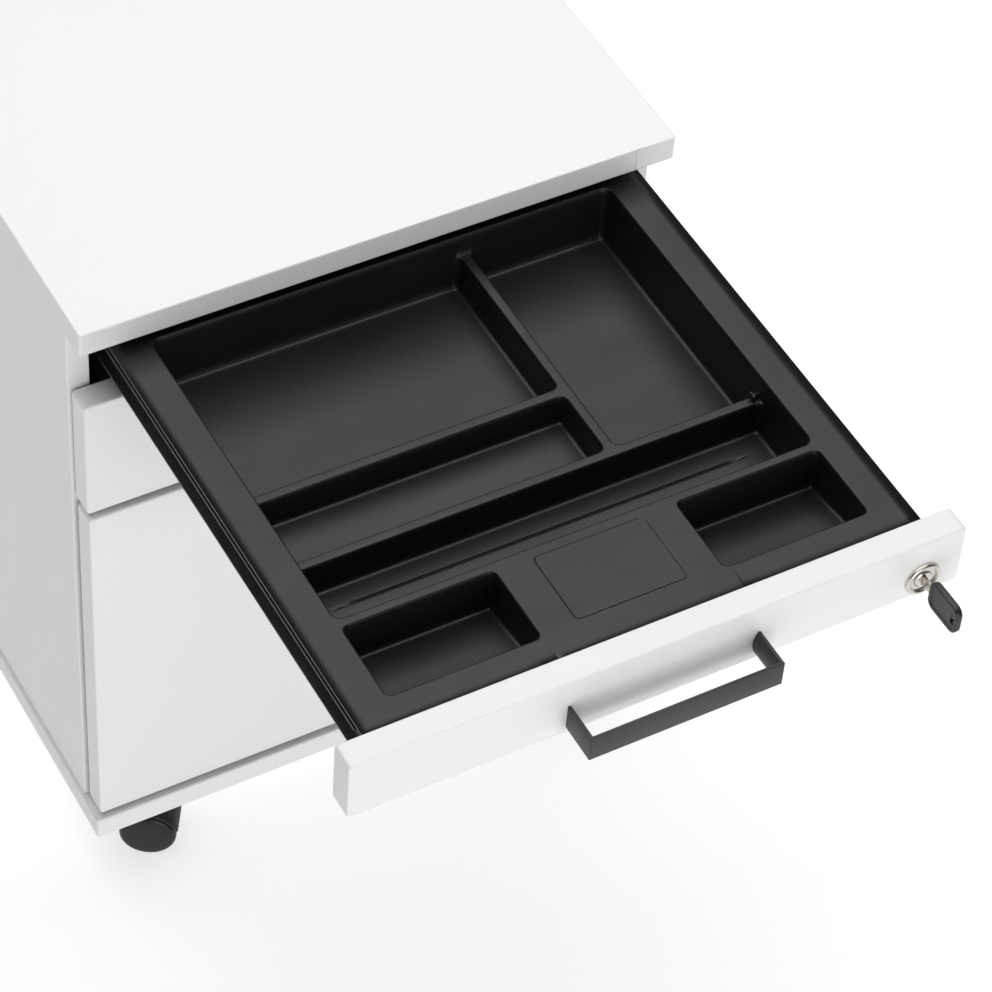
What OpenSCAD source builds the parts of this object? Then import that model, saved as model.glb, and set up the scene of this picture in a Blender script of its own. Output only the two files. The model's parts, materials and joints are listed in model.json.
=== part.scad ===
// Mobile office pedestal: a white board carcass on four twin-wheel castors, with a pencil
// drawer, a box drawer and a file drawer. Millimetres, +Z up, X to the right seen from the
// front, and the fronts face -Y. The origin is on the floor, in the middle of the box that
// holds the pedestal with its pencil drawer pulled out and the key in the lock.

/* [Cabinet] */

// Width of the top and bottom panels
cabinet_w = 430; // [380:1:500]
// Depth of the top and bottom panels
cabinet_d = 580; // [500:5:800]
// Height from the floor to the top face
cabinet_h = 565; // [500:1:700]
// Thickness of the top panel, the bottom panel and the fronts
board = 19; // [16:1:25]
// Thickness of the side and back panels
side_board = 16; // [12:1:22]
// How far the side panels stand in from the ends of the top panel
side_inset = 2; // [0:0.5:5]
// How far the carcass stands back from the front edge of the top panel
carcass_set = 26.5; // [22:0.5:40]
// Radius of the corners of the top and bottom panels
panel_r = 3; // [1:0.5:10]

/* [Fronts] */

// Width of the drawer fronts
front_w = 422; // [370:1:490]
// Gap above and below each front
front_gap = 3.5; // [2:0.5:6]
// How far the face of a closed front stands behind the edge of the top panel
front_set = 6; // [0:0.5:12]
// Height of the pencil drawer's front
front_1_h = 47; // [40:1:80]
// Height of the box drawer's front
front_2_h = 99.5; // [80:0.5:200]
// Radius of the corners of the fronts
front_r = 2.5; // [1:0.5:8]
// How far the pencil drawer is pulled out
pull_out = 366; // [0:1:366]
// How far the file drawer is left open
ajar = 2.7; // [0:0.1:10]

/* [Handles and lock] */

// Distance between the two screws of a handle
handle_holes = 128; // [96:32:160]
// Height of the handle strip
handle_h = 19.5; // [12:0.5:30]
// Thickest part of the handle strip
handle_t = 5; // [4:0.5:8]
// How far the handle stands out from the front
handle_out = 28; // [20:1:40]
// Drop from the top edge of a front to the middle of its handle
handle_drop = 32; // [20:1:40]
// Distance from the right end of the front to the lock
lock_side = 28; // [20:1:60]
// Diameter of the lock's rosette
rosette_d = 25; // [18:1:32]

/* [Pencil tray] */

// Width of the tray over its rims
tray_w = 383; // [330:1:450]
// Inside width of the tray at the rim
tray_in_w = 332; // [290:1:410]
// Drop from the top edge of the front to the tray's rim
tray_drop = 3.8; // [2:0.1:8]
// Depth of the deep compartments below the rim
tray_deep = 42; // [30:1:44]
// Drop from the rim to the tops of the inner walls
wall_drop = 16; // [5:1:30]
// Thickness of the tray's plastic
tray_t = 2; // [1.5:0.1:4]

/* [Castors] */

// Height of the castors, from the floor to the bottom panel
castor_h = 55; // [45:1:80]
// Diameter of the castor wheels
wheel_d = 42; // [36:1:60]
// Distance from the swivel axis to the wheel axle
castor_trail = 18; // [10:1:30]
// Distance from the sides of the bottom panel to the swivel axes
castor_side = 39; // [30:1:60]
// Distance from the front and back of the bottom panel to the swivel axes
castor_end = 38; // [35:1:80]

/* [Hidden] */

$fn = 48;

white = [0.93, 0.93, 0.92];
plastic = [0.16, 0.155, 0.16];
black = [0.05, 0.05, 0.055];
steel = [0.62, 0.63, 0.65];
dark_steel = [0.20, 0.20, 0.21];
nickel = [0.78, 0.76, 0.73];

// The key's reach in front of its front, which sets where the middle of the whole box is
key_reach = 41.5;
y_edge = (pull_out - front_set + key_reach - cabinet_d) / 2;
y_carcass = y_edge + carcass_set;
y_rear = y_edge + cabinet_d - side_inset;
y_face = y_edge + front_set;
x_side = cabinet_w / 2 - side_inset;
x_in = x_side - side_board;
z_top = cabinet_h - board;
z_bottom = castor_h + board;
y_back_in = y_rear - side_board;

// Fronts, bottom edge and height of each
z_front_1 = z_top - front_gap - front_1_h;
z_front_2 = z_front_1 - front_gap - front_2_h;
z_front_3 = z_bottom + front_gap;
front_3_h = z_front_2 - front_gap - z_front_3;
y_face_1 = y_face - pull_out;
y_face_3 = y_face - ajar;

// Screws into the backs of the fronts: distance from the middle and height above the bottom edge
screw_deep = 12;
bracket_screw = [176, 9.5];
tray_screw = [60, 12];
screws_1 = [[bracket_screw[0], front_1_h - tray_drop - bracket_screw[1]],
            [tray_screw[0], front_1_h - tray_drop - tray_screw[1]]];
box_screw_x = x_in - 26.7;
screws_2 = [[box_screw_x, 32], [box_screw_x, 64]];
screws_3 = [[box_screw_x, 34], [box_screw_x, 223]];

// Handles
handle_len = handle_holes + handle_t;
screw_r = 2;
hole_r = 2.5;
pilot_r = 1.8;

// Lock
lock_x = front_w / 2 - lock_side;
lock_z = z_front_1 + front_1_h - handle_drop;
lock_r = 9;
plug_r = 6;
rosette_t = 3;
plug_gap = 0.05;
lock_back = 8;
bar_w = 6.8;
bar_t = 3.2;
y_bar = y_carcass + 12;

// Pencil tray
z_rim = z_front_1 + front_1_h - tray_drop;
z_wall = z_rim - wall_drop;
y_tray = y_face_1 + board;
tray_deck = 88;
tray_l = 361;
tray_back = 19;
wall_t = 7;
cross_y = y_tray + 142;
pen_y = y_tray + 201.5;
split_x = 58.3;
cup_l = 58.5;
cup_w = 102.5;
cup_x = 114.3;
cup_y = y_tray + 21;
cup_depth = 31;
plate_w = 77;

// Ball slide of the pencil drawer
slide_1_h = 27;
slide_1_l = 480;
y_slide_1 = y_carcass + 20.5;
inner_1_reach = 6.2;
slide_1_x = tray_w / 2 - inner_1_reach;
inner_1_h = 19.6;
inner_1_l = 490;
z_slide_1 = z_rim - tray_t - 0.5 - slide_1_h / 2;
sheet = 1.2;
cage_l = 105;
cage_x = 190.4;
cage_row = 11.1;
ball_r = 0.95;
ball_step = 13.5;
bracket_x = bracket_screw[0] - 7;
bracket_h = 14;

// Full-extension slides of the two lower drawers
slide_h = 45;
slide_l = 500;
middle_h = 38;
inner_h = 30;
box_x = x_in - 12.7;
y_slide = y_carcass + 3;
z_slide_2 = z_front_2 + 45;
z_slide_3 = z_front_3 + 150;

// Hooks of the locking bar
z_hook_2 = z_slide_2 - 40;
z_hook_3 = z_slide_3 + 40;

// Drawer boxes
box_l = 500;
box_2_h = 68;
box_3_h = 225;
z_box_2 = z_front_2 + 14;
z_box_3 = z_front_3 + 16;
box_t = 1.5;
rail_x = 165;

// Castors
wheel_w = 17;
wheel_space = 13;
castor_w = 2 * wheel_w + wheel_space;
axle_r = 3;
stem_r = 5;
castor_x = cabinet_w / 2 - castor_side;
castor_y_front = y_edge + castor_end;
castor_y_back = y_edge + cabinet_d - castor_end;
z_axle = wheel_d / 2;
z_plate = castor_h - 3;

// Rounded rectangle about its middle
module rounded(w, d, r) {
  square([w - 2 * r, d], center = true);
  square([w, d - 2 * r], center = true);
  for (x = [-1, 1], y = [-1, 1])
    translate([x * (w / 2 - r), y * (d / 2 - r)])
      circle(r);
}

// Upright rounded plate, its face at y, its bottom left corner at x and z
module upright(x, y, z, w, t, h, r) {
  translate([x + w / 2, y + t, z + h / 2])
    rotate([90, 0, 0])
      linear_extrude(t)
        rounded(w, h, r);
}

// Cylinder along +Y from y
module rod_y(x, y, z, r, l) {
  translate([x, y, z])
    rotate([-90, 0, 0])
      cylinder(r = r, h = l);
}

// Cylinder along +X from x
module rod_x(x, y, z, r, l) {
  translate([x, y, z])
    rotate([0, 90, 0])
      cylinder(r = r, h = l);
}

// Lying panel, the top or the bottom
module lying_panel(z) {
  translate([0, y_edge + cabinet_d / 2, z])
    linear_extrude(board)
      rounded(cabinet_w, cabinet_d, panel_r);
}

module top_panel() {
  color(white)
    lying_panel(z_top);
}

module bottom_panel() {
  color(white)
    difference() {
      lying_panel(castor_h);
      for (x = [-1, 1], y = [y_carcass + 40, y_rear - 40])
        translate([x * (x_side - side_board / 2), y, castor_h - 1])
          cylinder(r = 3.6, h = board + 2);
    }
}

module side_panel(s) {
  color(white)
    difference() {
      translate([s > 0 ? x_in : -x_side, y_carcass, z_bottom])
        cube([side_board, y_rear - y_carcass, z_top - z_bottom]);
      for (y = [y_carcass + 40, y_rear - 40])
        translate([s * (x_side - side_board / 2), y, z_bottom - 1])
          cylinder(r = 2.6, h = 41);
      if (s > 0)
        translate([x_in - 1, y_bar, z_bottom + 10])
          cube([1 + bar_t + 1.6, bar_w + 1.2, lock_z + 14 - z_bottom - 10]);
    }
}

module side_left() {
  side_panel(-1);
}

module side_right() {
  side_panel(1);
}

module back_panel() {
  color(white)
    translate([-x_in, y_back_in, z_bottom])
      cube([2 * x_in, side_board, z_top - z_bottom]);
}

// Screws that hold the side panels on the bottom panel
module carcass_screws() {
  color(steel)
    for (x = [-1, 1], y = [y_carcass + 40, y_rear - 40])
      translate([x * (x_side - side_board / 2), y, castor_h])
        difference() {
          union() {
            cylinder(r = 3.55, h = board - 2);
            cylinder(r = 2.55, h = 55);
          }
          translate([0, 0, -1])
            cylinder(r = 2, h = 4, $fn = 6);
        }
}

// Soft buffers on the front edges of the side panels, behind the two closed fronts
module front_buffers() {
  color([0.8, 0.8, 0.8])
    for (x = [-1, 1], z = [z_front_3 + 20, z_front_3 + front_3_h - 20, z_front_2 + 15,
                           z_front_2 + front_2_h - 15])
      rod_y(x * (x_in + side_board / 2 + 1), y_carcass - 1.2, z, 4, 1.2);
}

// C-shaped rail with its web at x and its lips towards the middle, s is the side
module channel(s, x, y, z, l, h, reach, t) {
  translate([s > 0 ? x - t : -x, y, z - h / 2])
    cube([t, l, h]);
  for (e = [0, 1])
    translate([s > 0 ? x - reach : -x, y, z - h / 2 + e * (h - t)])
      cube([reach, l, t]);
}

// C-shaped rail with its web towards the middle and its lips outwards
module inner_channel(s, x, y, z, l, h, reach, t) {
  translate([s > 0 ? x : -x - t, y, z - h / 2])
    cube([t, l, h]);
  for (e = [0, 1])
    translate([s > 0 ? x : -x - reach, y, z - h / 2 + e * (h - t)])
      cube([reach, l, t]);
}

module rail_1_cabinet() {
  color(dark_steel)
    for (s = [-1, 1])
      channel(s, x_in, y_slide_1, z_slide_1, slide_1_l, slide_1_h, 8.6, sheet);
}

module rail_cabinet(z) {
  color(steel)
    for (s = [-1, 1])
      channel(s, x_in, y_slide, z, slide_l, slide_h, 10.5, sheet);
}

module rail_2_cabinet() {
  rail_cabinet(z_slide_2);
}

module rail_3_cabinet() {
  rail_cabinet(z_slide_3);
}

// Heads of the screws that hold the cabinet rails
module rail_screws() {
  color(steel)
    for (s = [-1, 1], z = [z_slide_1, z_slide_2, z_slide_3], y = [48, 261, 453])
      rod_x(s > 0 ? x_in - sheet - 1.2 : -x_in + sheet, y_slide + y, z, 3, 1.2);
}

// Clips that close the groove of the locking bar at three places
module lock_guides() {
  color(plastic)
    for (z = [z_bottom + 90, z_slide_2 - 62, z_slide_2 + 31])
      translate([x_in - 2, y_bar - 6, z])
        cube([2, bar_w + 13.2, 12]);
}

// Locking bar: a strip in the groove of the right side panel, which the cam lifts by the lug
// at its top, with a hook for each lower drawer
module lock_bar() {
  z_low = z_bottom + 20;
  color(steel) {
    translate([x_in + 0.8, y_bar + 0.6, z_low])
      cube([bar_t, bar_w, lock_z - 0.8 - z_low]);
    for (z = [z_hook_3, z_hook_2])
      translate([x_in - 8, y_bar + 0.6, z])
        cube([9, bar_w, 3]);
    translate([x_in - 5, y_bar + 0.6, lock_z - 0.8])
      cube([6, bar_w, 3]);
    translate([x_in - 5, y_bar - 5, lock_z - 0.8])
      cube([4.6, 6, 3]);
  }
}

// Castor plates, with the socket for the stem
module castor_plates() {
  color(steel)
    for (x = [-1, 1], y = [castor_y_front, castor_y_back])
      translate([x * castor_x, y, z_plate])
        difference() {
          union() {
            translate([0, 0, 1])
              linear_extrude(2)
                rounded(42, 42, 4);
            translate([0, 0, -1])
              cylinder(r = 10, h = 2);
          }
          translate([0, 0, -2])
            cylinder(r = stem_r + plug_gap, h = 6);
          for (a = [-1, 1], b = [-1, 1])
            translate([a * 15, b * 15, -2])
              cylinder(r = 2.3, h = 6);
        }
}

module castor_screws() {
  color(steel)
    for (x = [-1, 1], y = [castor_y_front, castor_y_back], a = [-1, 1], b = [-1, 1])
      translate([x * castor_x + a * 15, y + b * 15, z_plate - 1.2]) {
        cylinder(r = 3.8, h = 2.2);
        cylinder(r = 2.2, h = 4.2);
      }
}

// Drawer front with two holes for its handle and blind holes for the screws of its drawer
module front(y, z, h, screws) {
  difference() {
    upright(-front_w / 2, y, z, front_w, board, h, front_r);
    for (x = [-1, 1])
      rod_y(x * handle_holes / 2, y - 1, z + h - handle_drop, hole_r, board + 2);
    for (p = screws, x = [-1, 1])
      rod_y(x * p[0], y + board - screw_deep, z + p[1], pilot_r, screw_deep + 1);
  }
}

// Screw into the back of a front, with the underside of its head at y
module front_screw(x, y, z, grip) {
  rod_y(x, y, z, 3.4, 2);
  rod_y(x, y - grip - screw_deep, z, pilot_r, grip + screw_deep);
}

module front_1() {
  color(white)
    difference() {
      front(y_face_1, z_front_1, front_1_h, screws_1);
      rod_y(lock_x, y_face_1 - 1, lock_z, lock_r + plug_gap, board + 2);
    }
}

module front_2() {
  color(white)
    front(y_face, z_front_2, front_2_h, screws_2);
}

module front_3() {
  color(white)
    front(y_face_3, z_front_3, front_3_h, screws_3);
}

// Cross-section of the handle strip: flat at x = 0, crowned towards +x, its height along y
module strip_outline() {
  crown = handle_t - 2;
  crown_r = (handle_h * handle_h / 4 + crown * crown) / (2 * crown);
  intersection() {
    translate([handle_t - crown_r, 0])
      circle(crown_r, $fn = 120);
    translate([0, -handle_h / 2])
      square([handle_t, handle_h]);
  }
}

// Bow handle with mitred corners, on the front whose face is at y and top edge at z
module handle(y, z) {
  half = handle_len / 2;
  color(black)
    translate([0, y, z - handle_drop]) {
      intersection() {
        translate([-half, -handle_out, 0])
          rotate([90, 0, 90])
            linear_extrude(handle_len)
              strip_outline();
        linear_extrude(2 * handle_h, center = true)
          polygon([[-half, -handle_out], [half, -handle_out], [half - handle_out, 0],
                   [handle_out - half, 0]]);
      }
      for (s = [-1, 1])
        intersection() {
          translate([s * half, 0, 0])
            rotate([90, 0, 0])
              linear_extrude(handle_out)
                mirror([s > 0 ? 1 : 0, 0])
                  strip_outline();
          linear_extrude(2 * handle_h, center = true)
            polygon([[s * half, -handle_out], [s * half, 0], [s * (half - handle_out), 0]]);
        }
    }
}

module handle_1() {
  handle(y_face_1, z_front_1 + front_1_h);
}

module handle_2() {
  handle(y_face, z_front_2 + front_2_h);
}

module handle_3() {
  handle(y_face_3, z_front_3 + front_3_h);
}

// Screws through the front into the ends of its handle, heads inside the drawer
module handle_screws(y, z) {
  color(steel)
    for (x = [-1, 1]) {
      rod_y(x * handle_holes / 2, y + 0.2, z - handle_drop, screw_r, board);
      rod_y(x * handle_holes / 2, y + board + 0.05, z - handle_drop, 3.8, 2.2);
    }
}

module handle_screws_1() {
  handle_screws(y_face_1, z_front_1 + front_1_h);
}

module handle_screws_2() {
  handle_screws(y_face, z_front_2 + front_2_h);
}

module handle_screws_3() {
  handle_screws(y_face_3, z_front_3 + front_3_h);
}

// Lock housing: a tube through the front with a rosette on the face
module lock_housing() {
  color(nickel)
    difference() {
      union() {
        rod_y(lock_x, y_face_1 - 1, lock_z, lock_r, board + lock_back + 1);
        rod_y(lock_x, y_face_1 - rosette_t, lock_z, rosette_d / 2, rosette_t - 0.05);
      }
      rod_y(lock_x, y_face_1 - rosette_t - 1, lock_z, plug_r + plug_gap, board + lock_back + 6);
      rod_y(lock_x, y_face_1 - rosette_t - 1, lock_z, 9.5, 1.8);
    }
}

// Lock plug with its keyway
module lock_plug() {
  color(nickel)
    difference() {
      rod_y(lock_x, y_face_1 - rosette_t + 0.8, lock_z, plug_r, board + lock_back + 2.2);
      translate([lock_x - 1.3, y_face_1 - rosette_t - 1, lock_z - 4.2])
        cube([2.6, 27, 8.4]);
    }
}

// Cam on the back end of the plug, its arm hanging down while the lock is open
module lock_cam() {
  color(steel)
    translate([lock_x, y_face_1 + board + lock_back + 0.3, lock_z])
      rotate([-90, 0, 0])
        linear_extrude(2)
          difference() {
            union() {
              circle(6.6);
              translate([-5, 0])
                square([10, 12]);
            }
            circle(1.4);
          }
}

// Blade of the key, grown on every side by grow
module blade(grow) {
  translate([lock_x - 1 - grow, y_face_1 - 16 - grow, lock_z - 3.6 - grow])
    cube([2 + 2 * grow, 38, 7.2 + 2 * grow]);
}

module key_blade() {
  color(nickel)
    blade(0);
}

// Plastic bow of the key, moulded round the end of the blade, with a slot for a ring
module key_bow() {
  color(black)
    difference() {
      translate([lock_x + 2.2, y_face_1 - 26.3, lock_z - 0.5])
        rotate([0, -90, 0])
          linear_extrude(4.4)
            difference() {
              rounded(22, 30.4, 4);
              translate([0, -10])
                rounded(8, 3.4, 1.6);
            }
      blade(plug_gap);
    }
}

// A pocket of the tray, open upwards, grown on every side and downwards by grow
module pocket(x, y, w, l, depth, grow) {
  translate([x - grow, y - grow, z_rim - depth - grow])
    cube([w + 2 * grow, l + 2 * grow, depth + grow + 20]);
}

// The tray's six pockets: the wide trough, the pen trough, the two deep compartments behind
// them and the two cups in front
module tray_pockets(grow) {
  half = tray_in_w / 2;
  left_w = half + split_x - wall_t / 2;
  y_end = y_tray + tray_l - tray_back;
  pocket(-half, y_tray + tray_deck, 2 * half, cross_y - y_tray - tray_deck, tray_deep - 2, grow);
  pocket(-half, cross_y + wall_t, left_w, pen_y - cross_y - wall_t, tray_deep - 4, grow);
  pocket(-half, pen_y + wall_t, left_w, y_end - pen_y - wall_t, tray_deep, grow);
  pocket(split_x + wall_t / 2, cross_y + wall_t, half - split_x - wall_t / 2,
         y_end - cross_y - wall_t, tray_deep, grow);
  for (s = [-1, 1])
    pocket(s * cup_x - cup_w / 2, cup_y, cup_w, cup_l, cup_depth, grow);
}

// Moulded pencil tray: a rimmed shell that hangs by its rims on the two rails
module tray() {
  half = tray_in_w / 2;
  color(plastic)
    difference() {
      union() {
        translate([-tray_w / 2, y_tray + 0.4, z_rim - tray_t])
          cube([tray_w, tray_l - 0.4, tray_t]);
        intersection() {
          tray_pockets(tray_t);
          translate([-tray_w / 2, y_tray + 0.4, z_rim - tray_deep - tray_t])
            cube([tray_w, tray_l, tray_deep + tray_t]);
        }
        translate([-130, y_tray + 0.05, z_rim - 20])
          cube([260, 2.4, 20]);
      }
      tray_pockets(0);
      translate([-half, y_tray + tray_deck, z_wall])
        cube([2 * half, tray_l - tray_deck - tray_back, wall_drop + 1]);
      translate([-plate_w / 2, cup_y, z_rim - 0.8])
        cube([plate_w, cup_l, 1]);
      for (s = [-1, 1])
        rod_y(s * tray_screw[0], y_tray - 1, z_rim - tray_screw[1], pilot_r + 0.2, 5);
    }
}

// Drawer rails of the pencil drawer, with a raised web that carries the tray's rim
module rail_1_drawer() {
  z_web = z_slide_1 + inner_1_h / 2 - sheet;
  color(dark_steel)
    for (s = [-1, 1]) {
      inner_channel(s, slide_1_x, y_tray + 12, z_slide_1, inner_1_l, inner_1_h, inner_1_reach,
                    sheet);
      translate([s > 0 ? slide_1_x : -slide_1_x - sheet, y_tray + 12, z_web])
        cube([sheet, tray_l - 14, z_rim - tray_t - z_web]);
    }
}

// Ball cages between the two rails of the pencil drawer
module ball_cage_1() {
  color(steel)
    for (s = [-1, 1], e = [-1, 1]) {
      translate([s * cage_x - 1, y_slide_1 + 3, z_slide_1 + e * cage_row - 0.3])
        cube([2, cage_l, 0.6]);
      for (i = [0:7])
        translate([s * cage_x, y_slide_1 + 8 + i * ball_step, z_slide_1 + e * cage_row])
          sphere(r = ball_r, $fn = 16);
    }
}

// Angles that join the rails of the pencil drawer to its front
module rail_brackets() {
  z = z_rim - 17;
  color(dark_steel)
    for (s = [-1, 1]) {
      difference() {
        translate([s > 0 ? bracket_x : -slide_1_x, y_tray, z])
          cube([slide_1_x - bracket_x, 2, bracket_h]);
        rod_y(s * bracket_screw[0], y_tray - 1, z_rim - bracket_screw[1], pilot_r + 0.2, 4);
      }
      translate([s > 0 ? slide_1_x - 1.8 : -slide_1_x, y_tray, z])
        cube([1.8, 45, bracket_h]);
    }
}

// Screws that hold the rail brackets and the tray on the front
module tray_screws() {
  color(steel)
    for (s = [-1, 1]) {
      front_screw(s * bracket_screw[0], y_tray + 2.05, z_rim - bracket_screw[1], 2.05);
      front_screw(s * tray_screw[0], y_tray + 2.45, z_rim - tray_screw[1], 2.45);
    }
}

// Base of a drawer box
module box_base(y, z) {
  translate([-box_x + box_t, y + board, z])
    cube([2 * (box_x - box_t), box_l - box_t, box_t]);
}

// The two side walls of a drawer box, with a rolled top edge
module box_sides(y, z, h) {
  for (s = [-1, 1]) {
    translate([s > 0 ? box_x - box_t : -box_x, y + board, z])
      cube([box_t, box_l, h]);
    translate([s > 0 ? box_x - 8 : -box_x + box_t, y + board + 2, z + h - box_t])
      cube([8 - box_t, box_l - 2, box_t]);
  }
}

module box_back(y, z, h) {
  translate([-box_x + box_t, y + board + box_l - box_t, z])
    cube([2 * (box_x - box_t), box_t, h - 6]);
}

// Catch on the right side of a box, which the hook of the locking bar stops when it is lifted
module box_catch(y, z) {
  translate([box_x - 0.5, y_bar + 11 + y - y_face, z + 5])
    cube([8, 6, 9]);
}

// Turned flanges of a box's sides, flat against its front
module box_flanges(y, z, screws) {
  for (s = [-1, 1])
    difference() {
      translate([s > 0 ? box_x - 22 : -box_x + box_t, y + board, z + screws[0][1] - 9])
        cube([22 - box_t, box_t, screws[1][1] - screws[0][1] + 18]);
      for (p = screws)
        rod_y(s * p[0], y + board - 1, z + p[1], pilot_r + 0.2, box_t + 2);
    }
}

// Screws that hold a drawer box on its front
module box_screws(y, z, screws) {
  for (p = screws, s = [-1, 1])
    front_screw(s * p[0], y + board + box_t + 0.05, z + p[1], box_t + 0.05);
}

module box_2_base() {
  color(dark_steel)
    box_base(y_face, z_box_2);
}

module box_2_sides() {
  color(dark_steel) {
    box_sides(y_face, z_box_2, box_2_h);
    box_flanges(y_face, z_front_2, screws_2);
    box_catch(y_face, z_hook_2);
  }
}

module box_2_back() {
  color(dark_steel)
    box_back(y_face, z_box_2, box_2_h);
}

module box_screws_2() {
  color(steel)
    box_screws(y_face, z_front_2, screws_2);
}

module box_3_base() {
  color(dark_steel)
    box_base(y_face_3, z_box_3);
}

module box_3_sides() {
  color(dark_steel) {
    box_sides(y_face_3, z_box_3, box_3_h);
    box_flanges(y_face_3, z_front_3, screws_3);
    box_catch(y_face_3, z_hook_3);
  }
}

module box_3_back() {
  color(dark_steel)
    box_back(y_face_3, z_box_3, box_3_h);
}

module box_screws_3() {
  color(steel)
    box_screws(y_face_3, z_front_3, screws_3);
}

// Hanging-file rails: two long strips carried by a cross bar at each end
module file_rails() {
  color(steel) {
    for (s = [-1, 1])
      translate([s * rail_x - 1, y_face_3 + board + 12, z_box_3 + box_3_h + 0.1])
        cube([2, box_l - 24, 14]);
    for (y = [20, box_l - 32])
      translate([-box_x, y_face_3 + board + y, z_box_3 + box_3_h + 0.05])
        difference() {
          cube([2 * box_x, 3, 6]);
          for (s = [-1, 1])
            translate([box_x + s * rail_x - 1, -1, 0.05])
              cube([2, 5, 7]);
        }
  }
}

// Middle and drawer members of a full-extension slide
module rail_middle(y, z) {
  color(steel)
    for (s = [-1, 1])
      channel(s, x_in - sheet - 1.9, y, z, slide_l, middle_h, 6.6, sheet);
}

module rail_drawer(y, z) {
  color(steel)
    for (s = [-1, 1])
      inner_channel(s, box_x + 0.02, y, z, slide_l, inner_h, 5.2, sheet);
}

module rail_2_middle() {
  rail_middle(y_slide, z_slide_2);
}

module rail_3_middle() {
  rail_middle(y_slide - ajar / 2, z_slide_3);
}

module rail_2_drawer() {
  rail_drawer(y_slide, z_slide_2);
}

module rail_3_drawer() {
  rail_drawer(y_slide - ajar, z_slide_3);
}

// Everything of a castor is drawn about its swivel axis and turned by the castor's angle
module castor_place(x, y, turn) {
  translate([x * castor_x, y, 0])
    rotate(turn)
      children();
}

// Housing: a web between the two wheels, a mudguard over them and a disc under the plate
module castor_body(x, y, turn) {
  web = wheel_space - 0.8;
  guard_r = wheel_d / 2 + 3;
  z_disc = z_plate - 1.4;
  color(black)
    castor_place(x, y, turn)
      difference() {
        union() {
          translate([0, -castor_trail, z_axle])
            rotate([0, 90, 0])
              cylinder(r = wheel_d / 2 - 3, h = web, center = true);
          translate([0, 0, z_disc - 2.6])
            cylinder(r = 11, h = 2.6);
          translate([-web / 2, -castor_trail, z_axle])
            cube([web, castor_trail + 8, z_disc - z_axle]);
          difference() {
            translate([0, -castor_trail, z_axle])
              rotate([0, 90, 0])
                cylinder(r = guard_r, h = castor_w - 4, center = true);
            translate([0, -castor_trail, z_axle])
              rotate([0, 90, 0])
                cylinder(r = guard_r - 2, h = castor_w, center = true);
            translate([-castor_w, -castor_trail - 2 * guard_r, -5])
              cube([2 * castor_w, 4 * guard_r, z_axle + 13]);
          }
        }
        translate([0, 0, 20])
          cylinder(r = stem_r, h = 40);
        translate([-castor_w / 2, -castor_trail, z_axle])
          rotate([0, 90, 0])
            cylinder(r = axle_r, h = castor_w);
      }
}

// Steel stem and axle of a castor
module castor_pins(x, y, turn) {
  color(steel)
    castor_place(x, y, turn) {
      translate([0, 0, 20])
        cylinder(r = stem_r, h = castor_h - 20 - 0.4);
      translate([0, -castor_trail, z_axle])
        rotate([0, 90, 0])
          cylinder(r = axle_r, h = castor_w - 5, center = true);
    }
}

// Twin wheels with rounded shoulders
module castor_wheels(x, y, turn) {
  color(black)
    castor_place(x, y, turn)
      for (s = [-1, 1])
        translate([s * wheel_space / 2, -castor_trail, z_axle])
          rotate([0, s * 90, 0])
            rotate_extrude()
              difference() {
                union() {
                  square([wheel_d / 2 - 5, wheel_w]);
                  square([wheel_d / 2, wheel_w - 5]);
                  translate([wheel_d / 2 - 5, wheel_w - 5])
                    circle(5);
                }
                square([axle_r + plug_gap, wheel_w - 2]);
              }
}

turn_fl = 58;
turn_fr = -20;
turn_bl = 25;
turn_br = -35;

module castor_fl_body() {
  castor_body(-1, castor_y_front, turn_fl);
}

module castor_fl_pins() {
  castor_pins(-1, castor_y_front, turn_fl);
}

module castor_fl_wheels() {
  castor_wheels(-1, castor_y_front, turn_fl);
}

module castor_fr_body() {
  castor_body(1, castor_y_front, turn_fr);
}

module castor_fr_pins() {
  castor_pins(1, castor_y_front, turn_fr);
}

module castor_fr_wheels() {
  castor_wheels(1, castor_y_front, turn_fr);
}

module castor_bl_body() {
  castor_body(-1, castor_y_back, turn_bl);
}

module castor_bl_pins() {
  castor_pins(-1, castor_y_back, turn_bl);
}

module castor_bl_wheels() {
  castor_wheels(-1, castor_y_back, turn_bl);
}

module castor_br_body() {
  castor_body(1, castor_y_back, turn_br);
}

module castor_br_pins() {
  castor_pins(1, castor_y_back, turn_br);
}

module castor_br_wheels() {
  castor_wheels(1, castor_y_back, turn_br);
}

top_panel();
bottom_panel();
side_left();
side_right();
back_panel();
carcass_screws();
front_buffers();
rail_1_cabinet();
rail_2_cabinet();
rail_3_cabinet();
rail_screws();
lock_guides();
castor_plates();
castor_screws();
lock_bar();
front_1();
tray();
rail_1_drawer();
rail_brackets();
tray_screws();
handle_1();
handle_screws_1();
lock_housing();
lock_plug();
lock_cam();
key_blade();
key_bow();
ball_cage_1();
front_2();
box_2_base();
box_2_sides();
box_2_back();
rail_2_drawer();
handle_2();
handle_screws_2();
box_screws_2();
rail_2_middle();
front_3();
box_3_base();
box_3_sides();
box_3_back();
rail_3_drawer();
handle_3();
handle_screws_3();
box_screws_3();
file_rails();
rail_3_middle();
castor_fl_body();
castor_fl_pins();
castor_fl_wheels();
castor_fr_body();
castor_fr_pins();
castor_fr_wheels();
castor_bl_body();
castor_bl_pins();
castor_bl_wheels();
castor_br_body();
castor_br_pins();
castor_br_wheels();
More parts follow.
